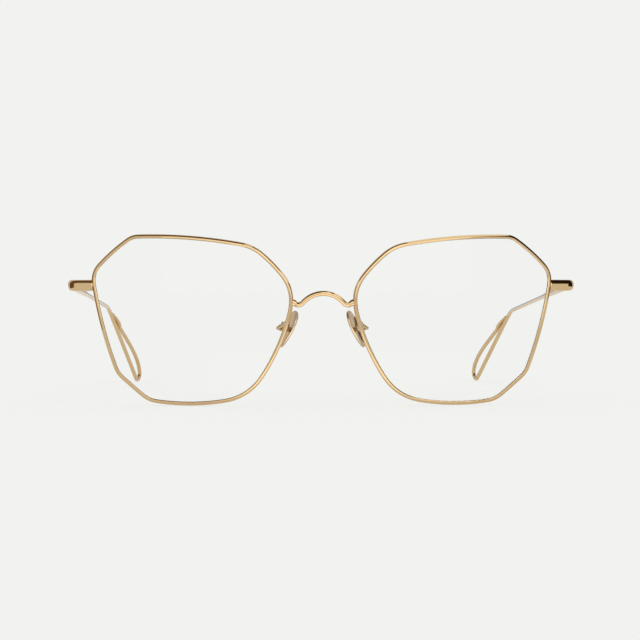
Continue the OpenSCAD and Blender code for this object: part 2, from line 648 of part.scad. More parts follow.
// The pad is narrower below than above, and its dish opens away from the nose
pad_taper = -0.25;
function pad_point(share, a, x) = [
  x + pad_dish * share * share - pad_dish,
  pad_w / 2 * share * cos(a) * (1 - pad_taper * sin(a)),
  pad_h / 2 * share * sin(a)];
function pad_ring(share, x) = [for (k = [0:pad_steps - 1]) pad_point(share, 360 * k / pad_steps, x)];
module nose_pad() {
  n = pad_steps;
  rings = concat(
    [for (s = pad_shares) pad_ring(s, 0)],
    [pad_ring(1 + edge_share, -pad_t / 2)],
    [for (k = [1:len(pad_shares)]) pad_ring(pad_shares[len(pad_shares) - k], -pad_t)]);
  m = len(rings);
  points = concat([for (r = rings) each r], [[-pad_dish, 0, 0], [-pad_dish - pad_t, 0, 0]]);
  sides = [for (i = [0:m - 2], j = [0:n - 1])
    let (a = i * n + j, b = i * n + (j + 1) % n)
    each [[a, b, b + n], [a, b + n, a + n]]];
  front = [for (j = [0:n - 1]) [m * n, (j + 1) % n, j]];
  back = [for (j = [0:n - 1]) [m * n + 1, (m - 1) * n + j, (m - 1) * n + (j + 1) % n]];
  color(gold) at_pad() polyhedron(points, concat(sides, front, back), convexity = 4);
}

// The screw stands this far off the pad's middle, inside the wall of its tab
pin_stand = 0.5;
pad_pin_x = pad_screw_r + pin_stand;
tab_wall = 0.32;
tab_r = pad_screw_r + tab_wall;
// The tab is soldered into the bottom of the dish, this far up from it
tab_lift = 0.05;
tab_start = tab_lift - pad_dish;
module along_y() {
  rotate([-90, 0, 0]) children();
}

module pad_tab() {
  color(dark_gold) at_pad() difference() {
    union() {
      translate([pad_pin_x, -tab_t / 2, 0]) along_y() cylinder(r = tab_r, h = tab_t);
      translate([tab_start, -tab_t / 2, -tab_r]) cube([pad_pin_x - tab_start, tab_t, 2 * tab_r]);
    }
    translate([pad_pin_x, -tab_t, 0]) along_y() cylinder(r = pad_screw_r + run_clear, h = 2 * tab_t);
  }
}

// The box starts this far past the tab's own start
box_lap = 0.1;
box_start = pad_pin_x - tab_r + box_lap;
slot_w = tab_t + 2 * tab_clear;
slot_end = pad_pin_x + tab_r + tab_clear;
module pad_box() {
  color(dark_gold) at_pad() difference() {
    translate([box_start, -box_w / 2, -box_h / 2]) cube([box_d, box_w, box_h]);
    translate([box_start - 1, -slot_w / 2, -box_h]) cube([1 + slot_end - box_start, slot_w, 2 * box_h]);
    translate([pad_pin_x, -box_w, 0]) along_y() cylinder(r = pad_screw_r + seat_clear, h = 2 * box_w);
  }
}

module pad_screw() {
  at_pad() translate([pad_pin_x, -box_w / 2 - seat_clear, 0]) along_y()
    screw(pad_screw_r, box_w, pad_head_r, pad_head_h, pad_slot);
}

// The arm leaves the back of the eyewire, swings out behind the lens and comes back to the box
arm_r = arm_d / 2;
// Height of the arm's root over the middle of the lens, and the gap at each of its ends
arm_z = 0.8;
arm_gap = 0.02;
// Length of the straight stub at each end, square to the eyewire's back and to the box
arm_stub = 0.25;
arm_root = on_front([nose_u(arm_z), arm_z], -wire_d / 2 - arm_gap);
arm_from = on_front([nose_u(arm_z), arm_z], -wire_d / 2 - arm_gap - arm_stub);
arm_end = from_pad([box_start + box_d + arm_gap, 0, 0]);
arm_to = from_pad([box_start + box_d + arm_gap + arm_stub, 0, 0]);
// How the arm sets out from the eyewire, and how it comes in to the box
arm_out = [0.9, 3.4, -2.6];
arm_in = [1.8, -0.2, -2.4];
arm_steps = 11;
arm_high = arm_from + arm_out;
arm_low = arm_to + from_pad(arm_in) - pad_at;
arm_path = concat(
  [arm_root],
  [for (k = [0:arm_steps]) curve4(arm_from, arm_high, arm_low, arm_to, k / arm_steps)],
  [arm_end]);
module pad_arm() {
  color(gold) ring_solid(path_rings(arm_path, [0, 0, 1], [for (p = arm_path) [arm_r, arm_r, 1]], 10));
}

on_right() rim();  // right_rim
on_left() rim();  // left_rim
on_right() lens();  // right_lens
on_left() lens();  // left_lens
on_left() bridge();
on_right() endpiece();  // right_endpiece
on_left() endpiece();  // left_endpiece
on_right() closing_block_upper();  // right_closing_block_upper
on_left() closing_block_upper();  // left_closing_block_upper
on_right() closing_block_lower();  // right_closing_block_lower
on_left() closing_block_lower();  // left_closing_block_lower
on_right() rim_screw();  // right_rim_screw
on_left() rim_screw();  // left_rim_screw
on_right() front_hinge(-1);  // right_front_hinge
on_left() front_hinge(1);  // left_front_hinge
on_right() hinge_screw(-1);  // right_hinge_screw
on_left() hinge_screw(1);  // left_hinge_screw
on_right() pad_arm();  // right_pad_arm
on_left() pad_arm();  // left_pad_arm
on_right() pad_box();  // right_pad_box
on_left() pad_box();  // left_pad_box
on_right() pad_screw();  // right_pad_screw
on_left() pad_screw();  // left_pad_screw
on_right() nose_pad();  // right_nose_pad
on_left() nose_pad();  // left_nose_pad
on_right() pad_tab();  // right_pad_tab
on_left() pad_tab();  // left_pad_tab
on_right() temple(-1);  // right_temple
on_left() temple(1);  // left_temple
on_right() temple_hinge(-1);  // right_temple_hinge
on_left() temple_hinge(1);  // left_temple_hinge
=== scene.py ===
"""Thin gold wire eyeglasses: cut-corner eyewires, dished metal nose pads and looped temple tips."""

import json
import math

import bmesh
import bpy
from bpy.props import FloatProperty, FloatVectorProperty, PointerProperty
from mathutils import Matrix, Vector


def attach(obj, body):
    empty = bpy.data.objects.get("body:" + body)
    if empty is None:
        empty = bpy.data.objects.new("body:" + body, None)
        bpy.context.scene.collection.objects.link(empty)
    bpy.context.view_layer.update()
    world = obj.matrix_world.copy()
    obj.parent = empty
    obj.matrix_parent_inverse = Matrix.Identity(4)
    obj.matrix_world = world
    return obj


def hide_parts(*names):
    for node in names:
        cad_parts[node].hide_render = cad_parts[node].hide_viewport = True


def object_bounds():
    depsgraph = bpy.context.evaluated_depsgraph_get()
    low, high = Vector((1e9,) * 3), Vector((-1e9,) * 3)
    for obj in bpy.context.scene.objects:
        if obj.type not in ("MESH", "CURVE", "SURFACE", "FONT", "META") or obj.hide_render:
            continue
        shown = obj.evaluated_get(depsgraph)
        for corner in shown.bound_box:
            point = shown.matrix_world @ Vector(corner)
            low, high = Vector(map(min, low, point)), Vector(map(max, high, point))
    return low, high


bl_info = {
    "name": "Thin Gold Wire Eyeglasses",
    "version": (1, 0, 0),
    "blender": (4, 5, 0),
    "location": "3D View > Sidebar > Eyewear",
    "description": "Builds thin gold wire eyeglasses with lenses, nose pads and folding looped temples",
    "category": "Object",
}

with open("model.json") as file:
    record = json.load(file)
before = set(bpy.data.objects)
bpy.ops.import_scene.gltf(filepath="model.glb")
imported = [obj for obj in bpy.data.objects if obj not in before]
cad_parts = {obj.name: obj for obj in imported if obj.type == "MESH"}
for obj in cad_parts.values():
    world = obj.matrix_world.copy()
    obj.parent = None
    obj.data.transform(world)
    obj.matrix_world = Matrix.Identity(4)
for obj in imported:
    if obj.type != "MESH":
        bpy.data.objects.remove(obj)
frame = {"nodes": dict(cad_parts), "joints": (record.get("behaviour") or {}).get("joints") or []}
CAD_BOX = [list(corner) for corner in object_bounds()]
MM = 0.001
# An edge that turns by more than SHARP is sharp, and one that turns by less than FLAT is no edge
SHARP = math.radians(35)
FLAT = math.radians(1)
# Points of a CAD node that lie closer than this are one point
MERGED = MM / 1000
SIDES = {"right": -1, "left": 1}


def length(name, description, mm):
    """A length property, given in millimetres."""
    return FloatProperty(name=name, description=description, default=mm * MM, unit="LENGTH", precision=5)


def angle(name, description, degrees):
    """An angle property, given in degrees."""
    return FloatProperty(name=name, description=description, default=math.radians(degrees), unit="ROTATION")


def linear(code):
    """An sRGB hex colour as linear red, green and blue."""
    parts = [int(code[i : i + 2], 16) / 255 for i in (1, 3, 5)]
    return [c / 12.92 if c <= 0.04045 else ((c + 0.055) / 1.055) ** 2.4 for c in parts]


def colour(name, description, code):
    """A colour property, given as an sRGB hex value."""
    tone = linear(code)
    return FloatVectorProperty(name=name, description=description, default=tone, subtype="COLOR", size=3)


class EyewireSizes(bpy.types.PropertyGroup):
    lens_w: length("Width", "Width of one eyewire between the centre lines of its wire", 53.1)
    lens_h: length("Height", "Height of one eyewire between the centre lines of its wire", 44.9)
    nose_gap: length("Nose gap", "Distance between the two eyewires' centre lines at the nose", 17.5)
    outer_corner_out: length("Outer corner out", "How far the outer corner stands out past the box", 0.4)
    outer_corner_z: length("Outer corner height", "Height of the outer corner over the middle", 12.4)
    top_outer_cut: length("Upper outer cut", "Length of the upper outer cut along the top", 10.5)
    top_nose_cut: length("Upper nose cut", "Length of the upper nose-side cut along the top", 10.6)
    top_nose_drop: length("Top drop", "How far the top drops at its nose end", 2.6)
    nose_corner_z: length("Nose corner height", "Height of the nose-side corner over the middle", 7.6)
    low_nose_cut: length("Lower nose cut", "Length of the lower nose-side cut along the bottom", 11.7)
    low_outer_cut: length("Lower outer cut", "Length of the lower outer cut along the bottom", 14.8)
    low_outer_in: length("Lower outer in", "How far the lower outer corner lies inside the box", 6.5)
    low_outer_rise: length("Lower outer rise", "Height of the lower outer corner over the bottom", 8.1)
    base_r: length("Base curve", "Radius of the lenses' front curve", 130)
    wrap: angle("Wrap", "Angle by which each lens turns back at its outer side", 4)
    lean: angle("Lean", "Angle by which the front leans forward at its top", 3)
    wire_w: length("Wire width", "Width of the eyewire seen from the front", 1.1)
    wire_d: length("Wire depth", "Depth of the eyewire from front to back", 2)
    groove: length("Groove", "Depth of the groove that holds the lens", 0.45)
    split_gap: length("Split", "Height of the cut in each eyewire", 0.12)
    lens_t: length("Lens", "Thickness of a lens", 1.6)
    bevel: length("Lens bevel", "Height of the bevel on the lens edge", 0.4)
    lens_clear: length("Lens gap", "Gap between the lens and its eyewire", 0.05)


class BridgeSizes(bpy.types.PropertyGroup):
    wire_d: length("Wire", "Diameter of the bridge wire", 1.4)
    end_z: length("End height", "Height of the bridge's ends over the middle of the lens", 4.75)
    rise: length("Rise", "Height of the arch over the low points beside it", 3.1)
    low_x: length("Low point", "Distance from each low point to the middle", 6.8)
    dip: length("Dip", "Depth of each low point under the bridge's end", 0.6)
    bend_r: length("Bend", "Radius of the bend at each low point", 1.8)
    forward: length("Forward", "How far the arch stands forward of its ends", 1.2)
    flare: length("Solder flare", "How much thicker the wire is where it is soldered on", 0.22)


class EndpieceSizes(bpy.types.PropertyGroup):
    bar_h: length("Height", "Height of the endpiece's bar", 3)
    bar_t: length("Thickness", "Thickness of the bar where it leaves the eyewire", 1.3)
    end_z: length("Place", "Height of the endpiece over the middle of the lens", 9.15)
    temple_x: length("Temple line", "Distance from the middle to a temple's centre line at its hinge", 68)
    hinge_back: length("Hinge back", "Distance from the eyewire's middle back to the hinge pin", 9)
    hinge_low: length("Hinge low", "How far the endpiece falls from the eyewire to the hinge", 0.1)
    corner: length("Corner", "Length of the round at the endpiece's corner", 3.2)
    butt_gap: length("Butt gap", "Gap between the endpiece and the open temple", 0.16)


class TempleSizes(bpy.types.PropertyGroup):
    shaft_l: length("Shaft", "Length of the straight shaft from the hinge to the bend", 101.5)
    strip_h: length("Strip height", "Height of the flattened strip at the hinge", 2.2)
    strip_t: length("Strip thickness", "Thickness of the flattened strip at the hinge", 1)
    wire_d: length("Wire", "Diameter of the temple wire", 1.25)
    taper_l: length("Taper", "Length of the taper from the strip to the round wire", 42)
    toe_in: angle("Toe in", "Angle by which a shaft turns inwards towards the back", 2.65)
    toe_skew: angle("Toe skew", "How much more the wearer's right shaft turns in", 1.7)
    drop: angle("Drop", "Angle by which a shaft falls towards the back", 4.8)
    drop_skew: angle("Drop skew", "How much less the wearer's right shaft falls", 0.7)
    tip_l: length("Tip", "Length of the tip from the ear bend to its lowest point", 36.5)
    tip_in: angle("Tip in", "Angle by which the tip turns inwards from the shaft", 14.5)
    ear_round: length("Ear round", "Length of the round at the ear bend", 5)
    turn_r: length("Turn", "Radius of the turn at the bottom of the loop", 2.1)
    turn_angle: angle("Turn angle", "How far the wire turns at the bottom of the loop", 152)
    loop_w: length("Loop width", "Greatest distance between the loop's two wires", 5.2)
    spade_l: length("Leaf length", "Length of the loop's flattened end", 8)
    spade_w: length("Leaf width", "Width of the loop's flattened end", 2.4)
    spade_t: length("Leaf thickness", "Thickness of the loop's flattened end", 0.7)
    join_l: length("Join", "Distance from the ear bend to where the flattened end is joined", 4)
    join_pull: length("Join pull", "How far the loop's rear wire runs along the shaft before it", 12)
    join_lift: length("Join lift", "How far the loop's rear wire stands off the shaft there", 1.1)


class PadSizes(bpy.types.PropertyGroup):
    height: length("Height", "Height of a nose pad", 10.5)
    width: length("Width", "Width of a nose pad", 5.9)
    thick: length("Thickness", "Thickness of a nose pad", 0.6)
    dish: length("Dish", "Depth of the dish on the side away from the nose", 0.85)
    splay: angle("Splay", "Angle seen from the front, the top towards the nose", 24)
    turn: angle("Turn", "Angle seen from above, the front edge towards the nose", 20)
    out: length("Out", "Distance from the middle of the glasses to the pad's middle", 9.4)
    back: length("Back", "Distance from the front of the eyewires back to the pad's middle", 7.3)
    low: length("Low", "Height of the pad's middle under the middle of the lens", 2.35)
    arm_d: length("Arm", "Diameter of the pad arm's wire", 0.9)
    arm_z: length("Arm root", "Height of the arm's root over the middle of the lens", 0.8)
    arm_stub: length("Arm stub", "Length of the straight stub at each end of the arm", 0.25)
    box_back: length("Box back", "Distance from the pad's middle to the back of its box", 1.98)


class FinishSettings(bpy.types.PropertyGroup):
    gold: colour("Gold", "Polished pale gold plating", "#DCBE93")
    deep_gold: colour("Deep gold", "The same plating where it is a little redder", "#C8A87C")
    pad_gold: colour("Pad gold", "Satin champagne gold inside the dished pads", "#BCA892")
    # The pad boxes' brown is painted shade and reflection: a darker gold that stands for the shade they sit
    # in between the pads and the eyewires
    box_painted_shade: colour("Box gold", "Brown lacquered gold of the pad boxes", "#6E4A2C")
    steel: colour("Screw steel", "Turned screws", "#C3BBAE")
    lens: colour("Lens", "Clear lens with a clear coating", "#FEFEFE")
    coating: colour("Coating", "What the lens's coating leaves of a mirror image", "#7C8681")
    polish: FloatProperty(name="Polish", description="Roughness of the polished gold", default=0.09)


class StageSettings(bpy.types.PropertyGroup):
    backdrop: colour("Backdrop", "Plain pale floor and background", "#F2F3F0")
    flag: colour("Flag", "Dark boards on the right, which the metal mirrors", "#2A2017")
    brown: colour("Brown", "Brown board over the left, which the metal mirrors", "#745E44")
    behind: colour("Behind", "Grey board behind the set, which the metal mirrors at a glance", "#C0BFC8")
    distance: length("Camera distance", "Distance from the camera to the front", 650)
    eye_z: length("Camera height", "Height of the camera over the floor", 38.2)
    focal: FloatProperty(name="Focal length", description="Millimetres on a 36 mm sensor", default=136.43)
    side: angle("Side", "How far the camera stands to the wearer's right", 2.8)


# Curves and rings


def power(x, k):
    """x to the power k with its sign kept."""
    return math.copysign(abs(x) ** k, x)


def curve3(a, b, c, t):
    """A point on the curve from a to c that b pulls."""
    return a * (1 - t) ** 2 + b * (2 * t * (1 - t)) + c * t * t


def curve4(a, b, c, d, t):
    """A point on the curve from a to d that b and c pull."""
    return a * (1 - t) ** 3 + b * (3 * t * (1 - t) ** 2) + c * (3 * t * t * (1 - t)) + d * t**3


def steps(count, first=0, last=1):
    """Numbers from first to last, count of them after the first."""
    return [first + (last - first) * k / count for k in range(count + 1)]


def path_dir(path, k):
    """The direction of a path at its point k."""
    return (path[min(k + 1, len(path) - 1)] - path[max(k - 1, 0)]).normalized()


def oval(place, side, up, half_w, half_h, square, count):
    """A ring round a place: an ellipse, or a squarer shape where square is under 1."""
    turns = [math.tau * (i + 0.5) / count for i in range(count)]
    wide = [side * (half_w * power(math.cos(t), square)) for t in turns]
    high = [up * (half_h * power(math.sin(t), square)) for t in turns]
    return [place + w + h for w, h in zip(wide, high)]


def swept(rings):
    """A closed solid: the first ring is extruded from place to place, and both ends are filled."""
    bm = bmesh.new()
    ring = bmesh.ops.create_circle(bm, segments=len(rings[0]), radius=MM)["verts"]
    first = edges = bm.edges[:]
    for vert, place in zip(ring, rings[0]):
        vert.co = place
    for places in rings[1:]:
        grown = bmesh.ops.extrude_edge_only(bm, edges=edges)["geom"]
        fresh = {item for item in grown if isinstance(item, bmesh.types.BMVert)}
        edges = [item for item in grown if isinstance(item, bmesh.types.BMEdge)]
        ring = [next(e.other_vert(v) for e in v.link_edges if e.other_vert(v) in fresh) for v in ring]
        for vert, place in zip(ring, places):
            vert.co = place
    bmesh.ops.holes_fill(bm, edges=first + edges, sides=0)
    bmesh.ops.recalc_face_normals(bm, faces=bm.faces)
    return bm


def wire_rings(path, hint, sizes, count):
    """Rings across a path: hint gives the side axis at a point, sizes the half widths and squareness."""
    rings = []
    for k, place in enumerate(path):
        along = path_dir(path, k)
        up = hint(k).cross(along).normalized()
        rings.append(oval(place, along.cross(up), up, *sizes(k), count))
    return rings


def caps(bm):
    """The two faces that close a swept solid."""
    return [face for face in bm.faces if len(face.verts) > 4]


def soften_ends(bm, size):
    """Takes the sharp edge off a swept bar's two ends."""
    edges = list({edge for face in caps(bm) for edge in face.edges})
    bmesh.ops.bevel(bm, geom=edges, offset=size, segments=2, profile=0.5, affect="EDGES", material=-1)


def softened(node, size):
    """A merged copy of a CAD node with its hard edges rounded over."""
    bm = bmesh.new()
    bm.from_mesh(frame["nodes"][node].data)
    bmesh.ops.remove_doubles(bm, verts=bm.verts, dist=MERGED)
    bmesh.ops.dissolve_limit(bm, angle_limit=FLAT, verts=bm.verts, edges=bm.edges)
    hard = [e for e in bm.edges if e.is_manifold and e.calc_face_angle() > SHARP]
    bmesh.ops.bevel(
        bm, geom=hard, offset=size, segments=2, profile=0.5, affect="EDGES", clamp_overlap=True, material=-1
    )
    return bm


def made(bm, name, material):
    """An object of the scene from its bmesh."""
    mesh = bpy.data.meshes.new(name)
    bm.to_mesh(mesh)
    bm.free()
    mesh.materials.append(material)
    piece = bpy.data.objects.new(name, mesh)
    bpy.context.scene.collection.objects.link(piece)
    return piece


def keep(bm, name, body, slot, material, *nodes):
    """Makes a piece from its bmesh, hangs it on its body and hides the CAD nodes that it stands for."""
    piece = made(bm, name, material)
    piece.data.shade_smooth()
    piece.data.set_sharp_from_angle(angle=SHARP)
    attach(piece, body)
    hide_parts(*nodes)


def keep_softened(side, part, size, name, body, slot, material):
    """Makes a piece from one side's CAD node, with its hard edges rounded over."""
    node = f"{side}_{part}"
    keep(softened(node, size), f"{side}_{name}", body, slot, material, node)


# The front's shape


class Front:
    """Where things lie on the wearer's left half of the front: u runs outwards, w up and n forwards."""

    # Length of each corner's round and how far the side that follows it bows out
    ROUNDS = [r * MM for r in (3.1, 1.55, 3.3, 5.5, 6.5, 2.2, 1.6)]
    BOWS = [b * MM for b in (0.55, 1, 0.88, 2.15, 1.4, 0.07, 0.75)]
    # How far the corners that the box does not fix lie from it
    TOP_DROP = 0.13 * MM
    NOSE_CORNER_OUT = 0.65 * MM
    LOW_NOSE_RISE = 2 * MM
    LOW_MID_RISE = 0.87 * MM
    ROUND_STEPS = 14
    SIDE_STEPS = 22
    # Steps of the short stretch of the outer side between the cut and its corner
    CUT_STEPS = 3
    # The corner before the nose side, and how closely that side is searched
    NOSE = 3
    NOSE_ROUND_STEPS = 40
    NOSE_SIDE_STEPS = 60
    HALVINGS = 24

    def __init__(self, eyewire, endpiece):
        self.sizes = eyewire
        half_w = eyewire.lens_w / 2
        half_h = eyewire.lens_h / 2
        self.corners = [
            Vector((half_w + eyewire.outer_corner_out, eyewire.outer_corner_z)),
            Vector((half_w - eyewire.top_outer_cut, half_h - self.TOP_DROP)),
            Vector((eyewire.top_nose_cut - half_w, half_h - eyewire.top_nose_drop)),
            Vector((-half_w - self.NOSE_CORNER_OUT, eyewire.nose_corner_z)),
            Vector((eyewire.low_nose_cut - half_w, self.LOW_NOSE_RISE - half_h)),
            Vector((half_w - eyewire.low_outer_cut, self.LOW_MID_RISE - half_h)),
            Vector((half_w - eyewire.low_outer_in, eyewire.low_outer_rise - half_h)),
        ]
        self.last_side = len(self.corners) - 1
        self.lens_x = eyewire.nose_gap / 2 + half_w * math.cos(eyewire.wrap)
        top = self.base_n(Vector((0, half_h))) + eyewire.wire_d / 4
        self.front_z = (half_h + eyewire.wire_w / 2) * math.cos(eyewire.lean) + top * math.sin(eyewire.lean)
        self.rim_end = self.on(self.side_at(self.last_side, self.cut_at(endpiece.end_z)))
        hinge_y = self.rim_end.y + endpiece.hinge_back
        joint = next(j for j in frame["joints"] if j["name"] == "left_temple_fold")
        self.row_y = joint["pos_m"][1] - hinge_y
        self.hinge = Vector((0, hinge_y, self.rim_end.z - endpiece.hinge_low))

    def along(self, i):
        """The straight vector of side i and the outward one square to it."""
        run = self.corners[(i + 1) % len(self.corners)] - self.corners[i]
        return run, Vector((run.y, -run.x)).normalized()

    def side_at(self, i, t):
        """A point on the bowed side i."""
        run, out = self.along(i)
        return self.corners[i] + run * t + out * (4 * self.BOWS[i] * t * (1 - t))

    def side_run(self, i, t):
        """The direction of the bowed side i."""
        run, out = self.along(i)
        return run + out * (4 * self.BOWS[i] * (1 - 2 * t))

    def round_at(self, i, t):
        """A point on the round of corner i."""
        j = (i - 1) % len(self.corners)
        end = 1 - self.ROUNDS[i] / self.along(j)[0].length
        start = self.ROUNDS[i] / self.along(i)[0].length
        a, c = self.side_at(j, end), self.side_at(i, start)
        d, e = self.side_run(j, end), self.side_run(i, start)
        b = a + d * ((c - a).cross(e) / d.cross(e))
        return curve3(a, b, c, t)

    def side_span(self, i):
        """Where the rounds at both ends leave off on side i."""
        span = self.along(i)[0].length
        return self.ROUNDS[i] / span, 1 - self.ROUNDS[(i + 1) % len(self.corners)] / span

    def cut_at(self, height):
        """Where the outer side, which rises along its run, reaches a height."""
        low, high = 0.0, 1.0
        for _ in range(self.HALVINGS):
            middle = (low + high) / 2
            if self.side_at(self.last_side, middle).y < height:
                low = middle
            else:
                high = middle
        return low

    def outline(self, endpiece, gap):
        """The centre line of the wire, from one side of the split round to the other."""
        last = self.last_side
        start = self.cut_at(endpiece.end_z + gap / 2)
        stop = self.cut_at(endpiece.end_z - gap / 2)
        points = [self.side_at(last, t) for t in steps(self.CUT_STEPS, start, self.side_span(last)[1])[:-1]]
        for i in range(last + 1):
            points += [self.round_at(i, t) for t in steps(self.ROUND_STEPS)[:-1]]
            low, high = self.side_span(i)
            high = stop if i == last else high
            points += [self.side_at(i, t) for t in steps(self.SIDE_STEPS, low, high)[:-1]]
        return points + [self.side_at(last, stop)]

    def nose_u(self, height):
        """How far out the nose side of the wire lies at a height."""
        side = [self.round_at(self.NOSE, t) for t in steps(self.NOSE_ROUND_STEPS)]
        span = self.side_span(self.NOSE)
        side += [self.side_at(self.NOSE, t) for t in steps(self.NOSE_SIDE_STEPS, *span)]
        return min(side, key=lambda p: abs(p.y - height)).x

    def base_n(self, p):
        """How far the lens curve has fallen back at a point of the outline's plane."""
        return math.sqrt(self.sizes.base_r**2 - p.x**2 - p.y**2) - self.sizes.base_r

    def at(self, p, n):
        """The place of a point p of the outline's plane, n in front of it."""
        wrap, lean = self.sizes.wrap, self.sizes.lean
        x = self.lens_x + p.x * math.cos(wrap) + n * math.sin(wrap)
        y = p.x * math.sin(wrap) - n * math.cos(wrap)
        back = y * math.cos(lean) - p.y * math.sin(lean)
        rise = y * math.sin(lean) + p.y * math.cos(lean)
        return Vector((x, back, rise + self.front_z))

    def on(self, p, n=0.0):
        """The place of a point p on the lens curve, n in front of it."""
        return self.at(p, self.base_n(p) + n)

    def placed(self, bm, side):
        """Moves a piece for the wearer's left to the frame's depth, and mirrors it for the right."""
        bmesh.ops.translate(bm, vec=(0, self.row_y, 0), verts=bm.verts)
        if side == "right":
            bmesh.ops.scale(bm, vec=(-1, 1, 1), verts=bm.verts)
            bmesh.ops.recalc_face_normals(bm, faces=bm.faces)
        return bm


def front_of(scene):
    """The front's shape from the scene's sizes."""
    return Front(scene.eyewire_sizes, scene.endpiece_sizes)


def outward(points, k, closed=False):
    """The outward direction at point k of an outline."""
    count = len(points)
    if closed:
        run = points[(k + 1) % count] - points[k - 1]
    else:
        run = points[min(k + 1, count - 1)] - points[max(k - 1, 0)]
    return Vector((run.y, -run.x)).normalized()


# Materials


def add(tree, kind, inputs=None, **settings):
    """Adds a shader node with its settings, and sets or links its inputs by their name or place."""
    node = tree.nodes.new(kind)
    for name, value in settings.items():
        setattr(node, name, value)
    for key, value in (inputs or {}).items():
        if isinstance(value, bpy.types.NodeSocket):
            tree.links.new(value, node.inputs[key])
        else:
            node.inputs[key].default_value = value
    return node


def blank_material(name):
    """A material whose nodes are still to come, and its tree."""
    material = bpy.data.materials.new(name)
    material.use_nodes = True
    material.node_tree.nodes.clear()
    return material, material.node_tree


# The smoothest and the roughest spots of a plating, as shares of its roughness
SMOOTHEST = 0.7
ROUGHEST = 1.5
# How much finer a plating's marks are than its grit, and how strongly they show
FINER = 4
MARK_STRENGTH = 0.05


def plated(scene, name, light, deep, dull, cloud, grit, mark):
    """A metal's surface, made when it is first asked for, with cloud, grit and mark in millimetres.

    Its tone drifts between light and deep over a cloud's length, and its polish over a grit's. Its
    marks are as deep as mark, and coarser than real buffing marks, which are too fine to show.
    """
    if name in bpy.data.materials:
        return bpy.data.materials[name]
    finish = scene.finish_settings
    material, tree = blank_material(name)
    place = add(tree, "ShaderNodeTexCoord").outputs["Object"]
    drift, wear, marks = (
        add(tree, "ShaderNodeTexNoise", {"Vector": place, "Scale": 1 / grain, "Detail": 3.0}).outputs["Fac"]
        for grain in (cloud * MM, grit * MM, grit * MM / FINER)
    )
    tones = {"Factor": drift, 6: (*getattr(finish, light), 1), 7: (*getattr(finish, deep), 1)}
    tone = add(tree, "ShaderNodeMix", tones, data_type="RGBA")
    rough = finish.polish * dull
    spread = {"Value": wear, "To Min": rough * SMOOTHEST, "To Max": rough * ROUGHEST}
    sheen = add(tree, "ShaderNodeMapRange", spread)
    height = {"Height": marks, "Strength": MARK_STRENGTH, "Distance": mark * MM}
    bumps = add(tree, "ShaderNodeBump", height)
    look = {
        "Base Color": tone.outputs[2],
        "Metallic": 1.0,
        "Roughness": sheen.outputs["Result"],
        "Normal": bumps.outputs["Normal"],
    }
    shader = add(tree, "ShaderNodeBsdfPrincipled", look)
    add(tree, "ShaderNodeOutputMaterial", {"Surface": shader.outputs["BSDF"]})
    return material


def polished_gold(scene):
    """Polished gold plating: warm mirror streaks, broken only by faint buffing marks."""
    return plated(scene, "polished_gold_plate", "gold", "deep_gold", dull=1, cloud=9, grit=0.5, mark=0.004)


def satin_gold(scene):
    """Satin gold plating: the soft glow of the pressed pads and their tabs."""
    return plated(scene, "satin_gold_plate", "pad_gold", "gold", dull=2.4, cloud=3, grit=0.3, mark=0.006)


def painted_shade_gold(scene):
    """Gold with painted shade and reflection: the pad boxes are coloured brown so that they look dark
    between the pads and the eyewires.
    """
    return plated(
        scene, "painted_shade_plate", "box_painted_shade", "deep_gold", dull=2, cloud=6, grit=0.3, mark=0.006
    )


def turned_steel(scene):
    """Turned screw steel: a slightly warm grey with a fine tooled grain."""
    return plated(scene, "turned_screw_steel", "steel", "pad_gold", dull=2.6, cloud=2, grit=0.2, mark=0.006)


def clear_lens(scene):
    """Coated optical resin: nearly invisible, because its coating leaves only a faint, greenish mirror."""
    finish = scene.finish_settings
    material, tree = blank_material("clear_coated_resin")
    look = {
        "Base Color": (*finish.lens, 1),
        "Roughness": 0.0,
        "IOR": 1.5,
        "Transmission Weight": 1.0,
        "Specular Tint": (*finish.coating, 1),
    }
    resin = add(tree, "ShaderNodeBsdfPrincipled", look).outputs["BSDF"]
    # Lamps shine straight through it, so that the lens leaves no dark shadow
    open_air = add(tree, "ShaderNodeBsdfTransparent").outputs["BSDF"]
    shadow = add(tree, "ShaderNodeLightPath").outputs["Is Shadow Ray"]
    both = add(tree, "ShaderNodeMixShader", {"Fac": shadow, 1: resin, 2: open_air})
    add(tree, "ShaderNodeOutputMaterial", {"Surface": both.outputs["Shader"]})
    return material


# The pieces of the front


